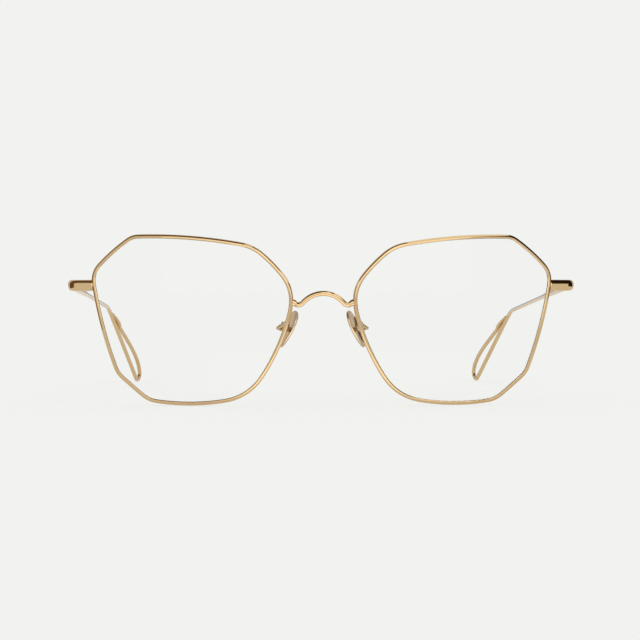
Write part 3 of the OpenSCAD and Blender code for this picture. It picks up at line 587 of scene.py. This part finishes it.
class EYEWEAR_OT_eyewires(bpy.types.Operator):
    """Rolls each eyewire as a crowned channel with a V groove, cut open at the closing blocks"""

    bl_idname = "eyewear.eyewires"
    bl_label = "Eyewires"
    CROWN = 0.8
    CROWN_STEPS = 14
    # Radius of the two lips, where their points lie round them, and where the groove's wall starts
    LIP = 0.34 * MM
    LIP_TURNS = (0.3, 0.6, 0.9, 1.2, 1.5)
    WALL_START = 1.2 * LIP
    # How much wider than deep the groove is each way, and half the width of its floor
    GROOVE_WIDER = 0.05 * MM
    GROOVE_FLOOR = 0.02 * MM

    def section(self, sizes):
        """The channel across the wire: a crowned outside, two rounded lips and the groove."""
        lip, half_w, half_d = self.LIP, sizes.wire_w / 2, sizes.wire_d / 2
        heel = lip - half_w
        crown = []
        for turn in steps(self.CROWN_STEPS, math.pi / 2, -math.pi / 2):
            out = heel + (sizes.wire_w - lip) * power(math.cos(turn), self.CROWN)
            crown.append((out, half_d * power(math.sin(turn), self.CROWN)))
        low_lip = [(heel - lip * math.sin(a), lip * (1 - math.cos(a)) - half_d) for a in self.LIP_TURNS]
        wall = [(-half_w, self.WALL_START - half_d), (-half_w, -sizes.groove - self.GROOVE_WIDER)]
        depth = sizes.groove - half_w - self.GROOVE_FLOOR
        floor = [(depth, -self.GROOVE_FLOOR), (depth, self.GROOVE_FLOOR)]
        back = [(out, -n) for out, n in reversed(low_lip + wall)]
        return crown + low_lip + wall + floor + back

    def execute(self, context):
        scene = context.scene
        front = front_of(scene)
        points = front.outline(scene.endpiece_sizes, scene.eyewire_sizes.split_gap)
        section = self.section(scene.eyewire_sizes)
        rings = []
        for k, point in enumerate(points):
            out = outward(points, k)
            fall = front.base_n(point)
            rings.append([front.at(point + out * r, fall + n) for r, n in section])
        gold = polished_gold(scene)
        for side in SIDES:
            bm = front.placed(swept(rings), side)
            keep(bm, f"{side}_eyewire", "front", "polished_gold", gold, f"{side}_rim")
        return {"FINISHED"}


class EYEWEAR_OT_lenses(bpy.types.Operator):
    """Grinds each lens as a curved plate with a bevelled edge that sits in the groove"""

    bl_idname = "eyewear.lenses"
    bl_label = "Lenses"
    SHARES = 10
    # The face's rings crowd towards the edge by this power
    CROWDING = 1.6

    def execute(self, context):
        scene = context.scene
        front = front_of(scene)
        sizes = scene.eyewire_sizes
        points = front.outline(scene.endpiece_sizes, 0)[:-1]
        outs = [outward(points, k, True) for k in range(len(points))]
        falls = [front.base_n(p) for p in points]
        edge_r = -sizes.wire_w / 2 - sizes.lens_clear
        tip_r = min(edge_r + sizes.bevel, sizes.groove - sizes.wire_w / 2 - sizes.lens_clear)
        edge = [p + out * edge_r for p, out in zip(points, outs)]
        tip = [p + out * tip_r for p, out in zip(points, outs)]

        def face_ring(share, n):
            """A ring of the lens's face, which meets the bevel's own height at the edge."""
            ring = []
            for k, p in enumerate(edge):
                settle = (falls[k] - front.base_n(p)) * share * share
                ring.append(front.at(p * share, front.base_n(p * share) + settle + n))
            return ring

        half_t = sizes.lens_t / 2
        shares = [1 - (1 - t) ** self.CROWDING for t in steps(self.SHARES)][1:]
        rings = [face_ring(s, half_t) for s in shares]
        for line, n in ((edge, sizes.bevel), (tip, 0), (edge, -sizes.bevel)):
            rings.append([front.at(p, falls[k] + n) for k, p in enumerate(line)])
        rings += [face_ring(s, -half_t) for s in reversed(shares)]
        resin = clear_lens(scene)
        for side in SIDES:
            bm = swept(rings)
            bmesh.ops.poke(bm, faces=caps(bm))
            front.placed(bm, side)
            keep(bm, f"{side}_lens_plate", "front", "clear_lens", resin, f"{side}_lens")
        return {"FINISHED"}


class EYEWEAR_OT_bridge(bpy.types.Operator):
    """Bends the bridge from one wire, with a curl down beside each eyewire"""

    bl_idname = "eyewear.bridge"
    bl_label = "Bridge"
    # The low points' share of how far the arch stands forward
    LOW_FORWARD = 0.2
    # The ends run this far into the eyewires, and are this much thinner from front to back
    SINK = 0.25 * MM
    THINNER = 0.12
    CURL_STEPS = 14
    LOW_STEPS = 10
    ARCH_STEPS = 30
    ROUND = 28

    def execute(self, context):
        scene = context.scene
        front = front_of(scene)
        sizes = scene.bridge_sizes
        root = front.on(Vector((front.nose_u(sizes.end_z), sizes.end_z)))
        seat = root - Vector((scene.eyewire_sizes.wire_w / 2, 0, 0))
        half = [seat + Vector((self.SINK, 0, 0))]
        for t in steps(self.CURL_STEPS):
            fall = sizes.dip * (1 - math.cos(math.pi * t)) / 2
            back = sizes.forward * self.LOW_FORWARD * t * t
            half.append(Vector((seat.x + (sizes.low_x - seat.x) * t, seat.y - back, seat.z - fall)))
        bend_r = sizes.bend_r
        arch_r = (sizes.low_x**2 + sizes.rise**2) / (2 * sizes.rise) - bend_r
        span = math.asin(sizes.low_x / (arch_r + bend_r))
        turns = steps(self.LOW_STEPS, 0, span)[1:]
        line = [(sizes.low_x - bend_r * math.sin(a), bend_r * (1 - math.cos(a))) for a in turns]
        turns = steps(self.ARCH_STEPS, span, 0)[1:]
        line += [(arch_r * math.sin(a), sizes.rise - arch_r * (1 - math.cos(a))) for a in turns]
        for x, rise in line:
            ahead = sizes.forward * (1 - (1 - self.LOW_FORWARD) * (x / sizes.low_x) ** 2)
            half.append(Vector((x, seat.y - ahead, seat.z - sizes.dip + rise)))
        path = half + [Vector((-p.x, p.y, p.z)) for p in reversed(half[:-1])]

        def thickness(k):
            """The round wire, drawn out into a fillet of solder at each eyewire."""
            share = max(0.0, (abs(path[k].x) - sizes.low_x) / (seat.x - sizes.low_x))
            radius = sizes.wire_d / 2 + sizes.flare * share**2
            return radius * (1 - self.THINNER * share), radius, 1.0

        rings = wire_rings(path, lambda k: Vector((0, -1, 0)), thickness, self.ROUND)
        bm = front.placed(swept(rings), "middle")
        keep(bm, "bridge_wire", "front", "polished_gold", polished_gold(scene), "bridge")
        return {"FINISHED"}


class EYEWEAR_OT_endpieces(bpy.types.Operator):
    """Turns each endpiece back from the eyewire to the hinge as a half-round bar"""

    bl_idname = "eyewear.endpieces"
    bl_label = "Endpieces"
    # Where the bar starts beside the eyewire, how far it runs into it, and how its end is eased
    SLANT = 0.15 * MM
    FORWARD = 0.1 * MM
    SINK = 0.3 * MM
    BUTT = 0.1 * MM
    # The bar keeps its full height up to this share of its run
    FULL = 0.78
    # The domed outer face: how square it is across and up, and how far round it turns each way
    DOME_ACROSS = 0.95
    DOME_UP = 0.85
    DOME_TURN = 1.45
    DOME_STEPS = 20
    # The inner face's eased edge, as shares of the bar's thickness and height
    EDGE = ((0.06, 0.47), (0.0, 0.4))
    START_STEPS = 6
    CORNER_STEPS = 28
    END_STEPS = 8

    def section(self, place, side, height, thick, inner):
        """A half-round bar: a flat inner face with eased edges and a domed outer one."""
        turns = steps(self.DOME_STEPS, -self.DOME_TURN, self.DOME_TURN)
        ring = [(power(math.cos(a), self.DOME_ACROSS), power(math.sin(a), self.DOME_UP) / 2) for a in turns]
        ring += [*self.EDGE, *((x, -z) for x, z in reversed(self.EDGE))]
        return [place + side * (x * thick - inner) + Vector((0, 0, z * height)) for x, z in ring]

    def execute(self, context):
        scene = context.scene
        front = front_of(scene)
        sizes = scene.endpiece_sizes
        strip_t, strip_h = scene.temple_sizes.strip_t, scene.temple_sizes.strip_h
        y = front.rim_end.y - self.FORWARD
        out_x = front.rim_end.x + scene.eyewire_sizes.wire_w / 2 + self.SLANT
        start = Vector((out_x - self.SINK, y, front.rim_end.z))
        corner = Vector((sizes.temple_x, y, front.rim_end.z))
        stop = Vector((sizes.temple_x, front.hinge.y - sizes.butt_gap, front.hinge.z))
        before = corner - Vector((sizes.corner, 0, 0))
        after = corner + Vector((0, sizes.corner, 0))
        path = [start.lerp(before, t) for t in steps(self.START_STEPS)[:-1]]
        path += [curve3(before, corner, after, t) for t in steps(self.CORNER_STEPS)[:-1]]
        path += [after.lerp(stop, t) for t in steps(self.END_STEPS)]
        rings = []
        for k, place in enumerate(path):
            along = path_dir(path, k)
            side = Vector((along.y, -along.x, 0)).normalized()
            share = k / (len(path) - 1)
            thick = sizes.bar_t + (strip_t - sizes.bar_t) * share
            taper = max(0.0, (share - self.FULL) / (1 - self.FULL))
            height = sizes.bar_h + (strip_h - sizes.bar_h) * taper
            rings.append(self.section(place, side, height, thick, strip_t / 2))
        gold = polished_gold(scene)
        for side in SIDES:
            bm = swept(rings)
            soften_ends(bm, self.BUTT)
            front.placed(bm, side)
            keep(bm, f"{side}_endpiece_bar", "front", "polished_gold", gold, f"{side}_endpiece")
        return {"FINISHED"}


class EYEWEAR_OT_closing_blocks(bpy.types.Operator):
    """Eases the edges of the closing blocks behind each endpiece and of their screws"""

    bl_idname = "eyewear.closing_blocks"
    bl_label = "Closing Blocks"
    BLOCK_EDGE = 0.12 * MM
    SCREW_EDGE = 0.05 * MM

    def execute(self, context):
        gold, steel = polished_gold(context.scene), turned_steel(context.scene)
        for side in SIDES:
            for part in ("upper", "lower"):
                block = (f"closing_block_{part}", self.BLOCK_EDGE, f"block_{part}")
                keep_softened(side, *block, "front", "polished_gold", gold)
            keep_softened(side, "rim_screw", self.SCREW_EDGE, "block_screw", "front", "screw_steel", steel)
        return {"FINISHED"}


class EYEWEAR_OT_hinges(bpy.types.Operator):
    """Eases the edges of the hinges' knuckles and plates and of their screws"""

    bl_idname = "eyewear.hinges"
    bl_label = "Hinges"
    KNUCKLE_EDGE = 0.06 * MM
    SCREW_EDGE = 0.04 * MM

    def execute(self, context):
        gold, steel = polished_gold(context.scene), turned_steel(context.scene)
        for side in SIDES:
            for part, name, body in (
                ("front_hinge", "front_knuckles", "front"),
                ("temple_hinge", "temple_knuckle", f"{side}_temple_body"),
            ):
                keep_softened(side, part, self.KNUCKLE_EDGE, name, body, "polished_gold", gold)
            keep_softened(side, "hinge_screw", self.SCREW_EDGE, "hinge_pin", "front", "screw_steel", steel)
        return {"FINISHED"}


# The temples


class Temple:
    """The line of one temple, with places measured from its hinge: x out, y back and z up."""

    SHAFT_STEPS = 60
    BEND_STEPS = 18
    LEG_STEPS = 16
    TURN_STEPS = 30
    REAR_STEPS = 46
    # The flattened end is pressed into the shaft by this much
    SINK = 0.02 * MM
    # A curve bulges by about this share of its pull
    BULGE = 0.19
    # How much squarer than an oval the strip is, how the leaf swells, and how its point is cut back
    SQUARER = 0.45
    LEAF_SWELL = 0.8
    LEAF_POINT = 0.25 * MM
    LEAF_POINT_POWER = 6
    ROUND = 28

    def __init__(self, sizes, start_y, hinge_z, sign):
        self.sizes = sizes
        self.start = Vector((0, start_y, 0))
        self.wire_r = sizes.wire_d / 2
        toe = sizes.toe_in - sign * sizes.toe_skew / 2
        drop = sizes.drop + sign * sizes.drop_skew / 2
        level = math.cos(drop)
        self.shaft_dir = Vector((-math.sin(toe) * level, math.cos(toe) * level, -math.sin(drop)))
        self.bend = self.shaft_dir * sizes.shaft_l
        straight = sizes.tip_l - sizes.turn_r
        reach = math.hypot(straight, sizes.turn_r)
        height = hinge_z + self.bend.z - self.wire_r - sizes.turn_r
        fall = math.atan2(sizes.turn_r, straight) + math.asin(height / reach)
        back = Vector((-math.sin(toe + sizes.tip_in), math.cos(toe + sizes.tip_in), 0))
        self.leg_dir = back * math.cos(fall) - Vector((0, 0, math.sin(fall)))
        self.leg_up = back * math.sin(fall) + Vector((0, 0, math.cos(fall)))
        self.leg_side = self.leg_dir.cross(self.leg_up)
        if self.leg_side.x < 0:
            self.leg_side.negate()
        self.turn_start = self.bend + self.leg_dir * straight
        lift = self.wire_r + sizes.spade_t / 2 - self.SINK
        self.join = self.bend + self.leg_dir * sizes.join_l + self.leg_up * lift

    def turn_at(self, turned):
        """A point on the turn at the bottom of the loop."""
        radius = self.sizes.turn_r
        rise = self.leg_up * (radius * (1 - math.cos(turned)))
        return self.turn_start + rise + self.leg_dir * (radius * math.sin(turned))

    def shaft(self):
        """The shaft, its bend at the ear and the leg down to the loop's turn."""
        sizes = self.sizes
        before = self.bend - self.shaft_dir * sizes.ear_round
        after = self.bend + self.leg_dir * sizes.ear_round
        line = [self.start.lerp(before, t) for t in steps(self.SHAFT_STEPS)[:-1]]
        line += [curve3(before, self.bend, after, t) for t in steps(self.BEND_STEPS)]
        return line + [after.lerp(self.turn_start, t) for t in steps(self.LEG_STEPS)[1:-1]]

    def loop(self):
        """The turn, and the wire that runs back up to the flattened end."""
        sizes = self.sizes
        end_turn = sizes.turn_angle
        line = [self.turn_at(end_turn * t) for t in steps(self.TURN_STEPS)]
        rear = self.leg_dir * math.cos(end_turn) + self.leg_up * math.sin(end_turn)
        pull = (sizes.loop_w - sizes.turn_r * (1 - math.cos(end_turn))) / self.BULGE
        top = line[-1]
        ease = self.join + self.leg_dir * sizes.join_pull + self.leg_up * sizes.join_lift
        shares = steps(self.REAR_STEPS)[1:]
        return line + [curve4(top, top + rear * pull, ease, self.join, t) for t in shares]

    def shaft_size(self, k):
        """Half widths and squareness of the strip, which tapers to round wire."""
        sizes = self.sizes
        gone = min(1, k / self.SHAFT_STEPS) * (sizes.shaft_l - sizes.ear_round) / sizes.taper_l
        share = max(0.0, 1 - gone)
        ease = share * (2 - share)
        half_t = self.wire_r + (sizes.strip_t / 2 - self.wire_r) * ease
        half_h = self.wire_r + (sizes.strip_h / 2 - self.wire_r) * ease
        return half_t, half_h, 1 - self.SQUARER * ease

    def loop_size(self, place):
        """Half widths of the loop's wire, which is pressed flat into a small leaf at its end."""
        sizes = self.sizes
        share = max(0.0, 1 - (place - self.join).length / sizes.spade_l)
        wide = math.sin(math.pi * share**self.LEAF_SWELL)
        point = self.LEAF_POINT * share**self.LEAF_POINT_POWER
        half_w = self.wire_r + (sizes.spade_w / 2 - self.wire_r) * wide - point
        return half_w, self.wire_r + (sizes.spade_t / 2 - self.wire_r) * share, 1.0

    def rings(self):
        """The rings of the whole temple."""
        shaft = self.shaft()
        path = shaft + self.loop()
        straight = Vector((1, 0, 0))

        def hint(k):
            """The side axis, which turns with the bend so that no ring twists."""
            t = min(1, max(0, (k - self.SHAFT_STEPS) / self.BEND_STEPS))
            return (straight * (1 - t) + self.leg_side * t).normalized()

        def size(k):
            """The strip's size up to the loop's turn, and the loop's from there."""
            return self.shaft_size(k) if k < len(shaft) else self.loop_size(path[k])

        return wire_rings(path, hint, size, self.ROUND)


class EYEWEAR_OT_temples(bpy.types.Operator):
    """Draws each temple from a flat strip to round wire, bends it at the ear and loops its tip"""

    bl_idname = "eyewear.temples"
    bl_label = "Temples"
    BUTT = 0.08 * MM

    def execute(self, context):
        scene = context.scene
        front = front_of(scene)
        endpiece = scene.endpiece_sizes
        place = Vector((endpiece.temple_x, front.hinge.y, front.hinge.z))
        gold = polished_gold(scene)
        for side, sign in SIDES.items():
            temple = Temple(scene.temple_sizes, endpiece.butt_gap / 2, front.hinge.z, sign)
            bm = swept(temple.rings())
            soften_ends(bm, self.BUTT)
            bmesh.ops.translate(bm, vec=place, verts=bm.verts)
            front.placed(bm, side)
            body = f"{side}_temple_body"
            keep(bm, f"{side}_temple_wire", body, "polished_gold", gold, f"{side}_temple")
        return {"FINISHED"}


# The nose pads and their mountings


def pad_place(front, pads, point):
    """A place given from a pad's middle: x away from the nose, y back along the pad and z up."""
    middle = Vector((pads.out, pads.back - front.sizes.wire_d / 2, front.front_z - pads.low))
    turned = Matrix.Rotation(-pads.splay, 3, "Y") @ Matrix.Rotation(-pads.turn, 3, "Z")
    return middle + turned @ point


class EYEWEAR_OT_nose_pads(bpy.types.Operator):
    """Presses each nose pad as a dished leaf with a rounded rim, and eases the tab on its back"""

    bl_idname = "eyewear.nose_pads"
    bl_label = "Nose Pads"
    # The pad is wider above than below, and its rounded rim stands out by a share of its size
    TAPER = 0.25
    RIM = 0.03
    TAB_EDGE = 0.06 * MM
    AROUND = 72
    SHARES = 9
    RIM_STEPS = 6

    def execute(self, context):
        scene = context.scene
        front = front_of(scene)
        pads = scene.pad_sizes

        def ring(share, x):
            """An egg-shaped ring of the pad, a share of its size."""
            places = []
            for t in (math.tau * k / self.AROUND for k in range(self.AROUND)):
                wide = pads.width / 2 * share * math.cos(t) * (1 + self.TAPER * math.sin(t))
                deep = x + pads.dish * (share * share - 1)
                high = pads.height / 2 * share * math.sin(t)
                places.append(pad_place(front, pads, Vector((deep, wide, high))))
            return places

        shares = steps(self.SHARES)[1:]
        rings = [ring(s, 0) for s in shares]
        for turn in steps(self.RIM_STEPS, 0, math.pi)[1:-1]:
            rings.append(ring(1 + self.RIM * math.sin(turn), -pads.thick * (1 - math.cos(turn)) / 2))
        rings += [ring(s, -pads.thick) for s in reversed(shares)]
        bottom = pad_place(front, pads, Vector((-pads.dish / self.SHARES**2, 0, 0)))
        sink = bottom - pad_place(front, pads, Vector((0, 0, 0)))
        gold = satin_gold(scene)
        for side in SIDES:
            bm = swept(rings)
            middles = bmesh.ops.poke(bm, faces=caps(bm))["verts"]
            bmesh.ops.translate(bm, vec=sink, verts=middles)
            front.placed(bm, side)
            body = f"{side}_pad_body"
            keep(bm, f"{side}_pad_leaf", body, "pad_gold", gold, f"{side}_nose_pad")
            keep_softened(side, "pad_tab", self.TAB_EDGE, "pad_lug", body, "pad_gold", gold)
        return {"FINISHED"}


class EYEWEAR_OT_pad_mountings(bpy.types.Operator):
    """Bends the pad arms and eases the edges of the pad boxes and their screws"""

    bl_idname = "eyewear.pad_mountings"
    bl_label = "Pad Mountings"
    ARM_STEPS = 40
    # How the arm sets out from the eyewire, and how it comes in to the box
    ARM_OUT = Vector((0.9, 3.4, -2.6)) * MM
    ARM_IN = Vector((1.8, -0.2, -2.4)) * MM
    # How far the arm runs into both, and how much and over how many steps solder thickens it there
    SINK = 0.15 * MM
    SOLDER = 0.22
    SOLDER_STEPS = 1.5
    ROUND = 20
    BOX_EDGE = 0.1 * MM
    SCREW_EDGE = 0.03 * MM

    def execute(self, context):
        scene = context.scene
        front = front_of(scene)
        pads = scene.pad_sizes
        root = Vector((front.nose_u(pads.arm_z), pads.arm_z))
        behind = -scene.eyewire_sizes.wire_d / 2
        middle = pad_place(front, pads, Vector((0, 0, 0)))
        start = front.on(root, behind - pads.arm_stub)
        stop = pad_place(front, pads, Vector((pads.box_back + pads.arm_stub, 0, 0)))
        pull = pad_place(front, pads, self.ARM_IN) - middle
        path = [front.on(root, behind + self.SINK)]
        path += [curve4(start, start + self.ARM_OUT, stop + pull, stop, t) for t in steps(self.ARM_STEPS)]
        path.append(pad_place(front, pads, Vector((pads.box_back - self.SINK, 0, 0))))

        def thickness(k):
            """The arm's wire, with a little solder at both of its ends."""
            near = min(k, len(path) - 1 - k)
            radius = pads.arm_d / 2 * (1 + self.SOLDER * math.exp(-near / self.SOLDER_STEPS))
            return radius, radius, 1.0

        rings = wire_rings(path, lambda k: Vector((0, 0, 1)), thickness, self.ROUND)
        gold, brown, steel = polished_gold(scene), painted_shade_gold(scene), turned_steel(scene)
        for side in SIDES:
            bm = front.placed(swept(rings), side)
            keep(bm, f"{side}_arm_wire", "front", "polished_gold", gold, f"{side}_pad_arm")
            # The pad boxes take the gold with painted shade and reflection, a brown that makes them look
            # dark between the pads and the eyewires
            keep_softened(side, "pad_box", self.BOX_EDGE, "box_shell", "front", "pad_gold", brown)
            keep_softened(side, "pad_screw", self.SCREW_EDGE, "box_screw", "front", "screw_steel", steel)
        return {"FINISHED"}


# The stage


class EYEWEAR_OT_stage(bpy.types.Operator):
    """Sets the pale floor and world, the key light, the boards that the metal mirrors and the camera"""

    bl_idname = "eyewear.stage"
    bl_label = "Stage"
    FLOOR_HALF = 6.0
    # The share of the floor's look that comes from light and shade, so that it keeps a faint shadow
    LIT_SHARE = 0.25
    # Strengths of the white light from all round and of the two kinds of softbox
    AROUND = 0.86
    SOFTBOX = 1.9
    WEAK_SOFTBOX = 1.3
    # The key light's strength, and its spread, height over the floor and turn to the right in degrees
    KEY = 0.5
    KEY_SPREAD = 14
    KEY_HEIGHT = 60
    KEY_TURN = 20
    # The turns that make a flat board face along each axis
    TURNS = {"Z": "", "Y": "X", "X": "XZ"}
    # Where the photograph's optical axis meets its picture, from the top left of 640 by 640
    AXIS_X = 323.3
    AXIS_Y = 263.45
    PICTURE = 640
    SENSOR = 36

    def backdrop_ray(self, tree):
        """1 for rays that should meet the plain backdrop: from the camera, a mirror or a lens."""
        rays = add(tree, "ShaderNodeLightPath").outputs
        seen = rays["Is Camera Ray"]
        for kind in ("Is Glossy Ray", "Is Transmission Ray"):
            seen = add(tree, "ShaderNodeMath", {0: seen, 1: rays[kind]}, operation="MAXIMUM").outputs[0]
        return seen

    def world(self, scene):
        """A plain pale world: the backdrop's colour where it is seen, and white light."""
        world = bpy.data.worlds.new("pale_studio")
        scene.world = world
        world.use_nodes = True
        tree = world.node_tree
        tree.nodes.clear()
        light, shown = (
            add(tree, "ShaderNodeBackground", {"Color": (*tone, 1), "Strength": strength}).outputs[0]
            for tone, strength in (((1, 1, 1), self.AROUND), (scene.stage_settings.backdrop, 1.0))
        )
        both = add(tree, "ShaderNodeMixShader", {"Fac": self.backdrop_ray(tree), 1: light, 2: shown})
        add(tree, "ShaderNodeOutputWorld", {"Surface": both.outputs["Shader"]})

    def floor(self, scene):
        """A matt paper sweep that shows the backdrop's colour and a faint shadow."""
        material, tree = blank_material("matt_pale_paper")
        tone = (*scene.stage_settings.backdrop, 1)
        paper = add(tree, "ShaderNodeBsdfDiffuse", {"Color": tone}).outputs["BSDF"]
        glow = add(tree, "ShaderNodeEmission", {"Color": tone, "Strength": 1.0}).outputs["Emission"]
        shares = {0: self.backdrop_ray(tree), 1: 1 - self.LIT_SHARE}
        even = add(tree, "ShaderNodeMath", shares, operation="MULTIPLY").outputs[0]
        both = add(tree, "ShaderNodeMixShader", {"Fac": even, 1: paper, 2: glow})
        add(tree, "ShaderNodeOutputMaterial", {"Surface": both.outputs["Shader"]})
        bm = bmesh.new()
        bmesh.ops.create_grid(bm, x_segments=2, y_segments=2, size=self.FLOOR_HALF)
        bmesh.ops.translate(bm, vec=(0, 0, CAD_BOX[0][2]), verts=bm.verts)
        made(bm, "floor_sweep", material)

    def cloth(self, name, tone, strength=1.0):
        """A board's cloth that shows an even tone."""
        material, tree = blank_material(name)
        shown = add(tree, "ShaderNodeEmission", {"Color": (*tone, 1), "Strength": strength})
        add(tree, "ShaderNodeOutputMaterial", {"Surface": shown.outputs["Emission"]})
        return material

    def boards(self, scene):
        """Boards out of view: pale ones that light the metal's faces, and dark ones that line its edges."""
        stage = scene.stage_settings
        black = self.cloth("black_flag_cloth", stage.flag)
        brown = self.cloth("brown_flag_cloth", stage.brown)
        grey = self.cloth("grey_backing_cloth", stage.behind)
        white = self.cloth("white_softbox_cloth", stage.backdrop, self.SOFTBOX)
        pale = self.cloth("pale_softbox_cloth", stage.backdrop, self.WEAK_SOFTBOX)
        # Each board's name, middle, half sizes, the axis that it faces and its cloth
        spots = (
            ("flag_over", (-0.37, -0.2, 0.5), (0.49, 0.45), "Z", brown),
            ("softbox_near_right", (0.0385, -0.088, 0.06), (0.0175, 0.067), "Z", pale),
            ("softbox_at_bridge", (0.016, -0.12, 0.078), (0.02, 0.026), "Y", white),
            ("softbox_strip", (0.0, -0.13, 0.045), (0.06, 0.014), "Y", white),
            ("softbox_low", (0.009, -0.098, 0.0003), (0.041, 0.021), "Z", white),
            ("flag_over_right", (0.38, -0.15, 0.3), (0.273, 0.2), "Z", black),
            ("flag_near_right", (0.113, -0.095, 0.07), (0.056, 0.075), "Z", black),
            ("flag_right", (0.13, -0.07, 0.05), (0.04, 0.03), "X", black),
            ("flag_left", (-0.13, -0.07, 0.04), (0.04, 0.04), "X", brown),
            ("backing", (0.0, 1.4, 0.4), (1.4, 0.42), "Y", grey),
        )
        for name, middle, half, faces, cloth in spots:
            bm = bmesh.new()
            bmesh.ops.create_grid(bm, x_segments=1, y_segments=1, size=1)
            bmesh.ops.scale(bm, vec=(*half, 1), verts=bm.verts)
            for axis in self.TURNS[faces]:
                bmesh.ops.rotate(bm, matrix=Matrix.Rotation(math.pi / 2, 3, axis), verts=bm.verts)
            bmesh.ops.translate(bm, vec=middle, verts=bm.verts)
            board = made(bm, name, cloth)
            for rays in ("camera", "diffuse", "shadow", "transmission"):
                setattr(board, f"visible_{rays}", False)

    def key_light(self, scene):
        """One even light from high in front, which casts the faint shadow and which no metal mirrors."""
        data = bpy.data.lights.new("key_light", "SUN")
        data.energy = self.KEY
        data.angle = math.radians(self.KEY_SPREAD)
        lamp = bpy.data.objects.new("key_light", data)
        lamp.rotation_euler = (math.radians(90 - self.KEY_HEIGHT), 0, math.radians(self.KEY_TURN))
        lamp.visible_glossy = False
        scene.collection.objects.link(lamp)

    def camera(self, scene):
        """A long lens at the photograph's place, turned to put its axis where the photograph has it."""
        stage = scene.stage_settings
        data = bpy.data.cameras.new("camera")
        data.lens = stage.focal
        data.sensor_width = self.SENSOR
        focal_px = stage.focal / self.SENSOR * self.PICTURE
        camera = bpy.data.objects.new("camera", data)
        ahead = front_of(scene).row_y - stage.distance * math.cos(stage.side)
        camera.location = (-stage.distance * math.sin(stage.side), ahead, stage.eye_z)
        yaw = -stage.side + math.atan((self.AXIS_X - self.PICTURE / 2) / focal_px)
        pitch = math.atan((self.AXIS_Y - self.PICTURE / 2) / focal_px)
        camera.rotation_euler = (math.pi / 2 + pitch, 0, yaw)
        scene.collection.objects.link(camera)
        scene.camera = camera

    def execute(self, context):
        scene = context.scene
        self.world(scene)
        self.floor(scene)
        self.boards(scene)
        self.key_light(scene)
        self.camera(scene)
        scene.view_settings.view_transform = "Standard"
        return {"FINISHED"}


OPERATORS = (
    EYEWEAR_OT_stage,
    EYEWEAR_OT_eyewires,
    EYEWEAR_OT_lenses,
    EYEWEAR_OT_bridge,
    EYEWEAR_OT_endpieces,
    EYEWEAR_OT_closing_blocks,
    EYEWEAR_OT_hinges,
    EYEWEAR_OT_temples,
    EYEWEAR_OT_nose_pads,
    EYEWEAR_OT_pad_mountings,
)
GROUPS = {
    "eyewire_sizes": EyewireSizes,
    "bridge_sizes": BridgeSizes,
    "endpiece_sizes": EndpieceSizes,
    "temple_sizes": TempleSizes,
    "pad_sizes": PadSizes,
    "finish_settings": FinishSettings,
    "stage_settings": StageSettings,
}


class EYEWEAR_PT_panel(bpy.types.Panel):
    """Lists the pieces in the order in which they are made"""

    bl_idname = "EYEWEAR_PT_panel"
    bl_label = "Wire Eyeglasses"
    bl_space_type = "VIEW_3D"
    bl_region_type = "UI"
    bl_category = "Eyewear"

    def draw(self, context):
        for operator in OPERATORS:
            self.layout.operator(operator.bl_idname)


def register():
    for group in GROUPS.values():
        bpy.utils.register_class(group)
    for name, group in GROUPS.items():
        setattr(bpy.types.Scene, name, PointerProperty(type=group))
    for operator in OPERATORS:
        bpy.utils.register_class(operator)
    bpy.utils.register_class(EYEWEAR_PT_panel)


def unregister():
    bpy.utils.unregister_class(EYEWEAR_PT_panel)
    for operator in reversed(OPERATORS):
        bpy.utils.unregister_class(operator)
    for name, group in GROUPS.items():
        delattr(bpy.types.Scene, name)
        bpy.utils.unregister_class(group)


def main():
    """Registers the add-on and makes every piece."""
    register()
    for operator in OPERATORS:
        family, name = operator.bl_idname.split(".")
        getattr(getattr(bpy.ops, family), name)()


if __name__ == "__main__":
    main()
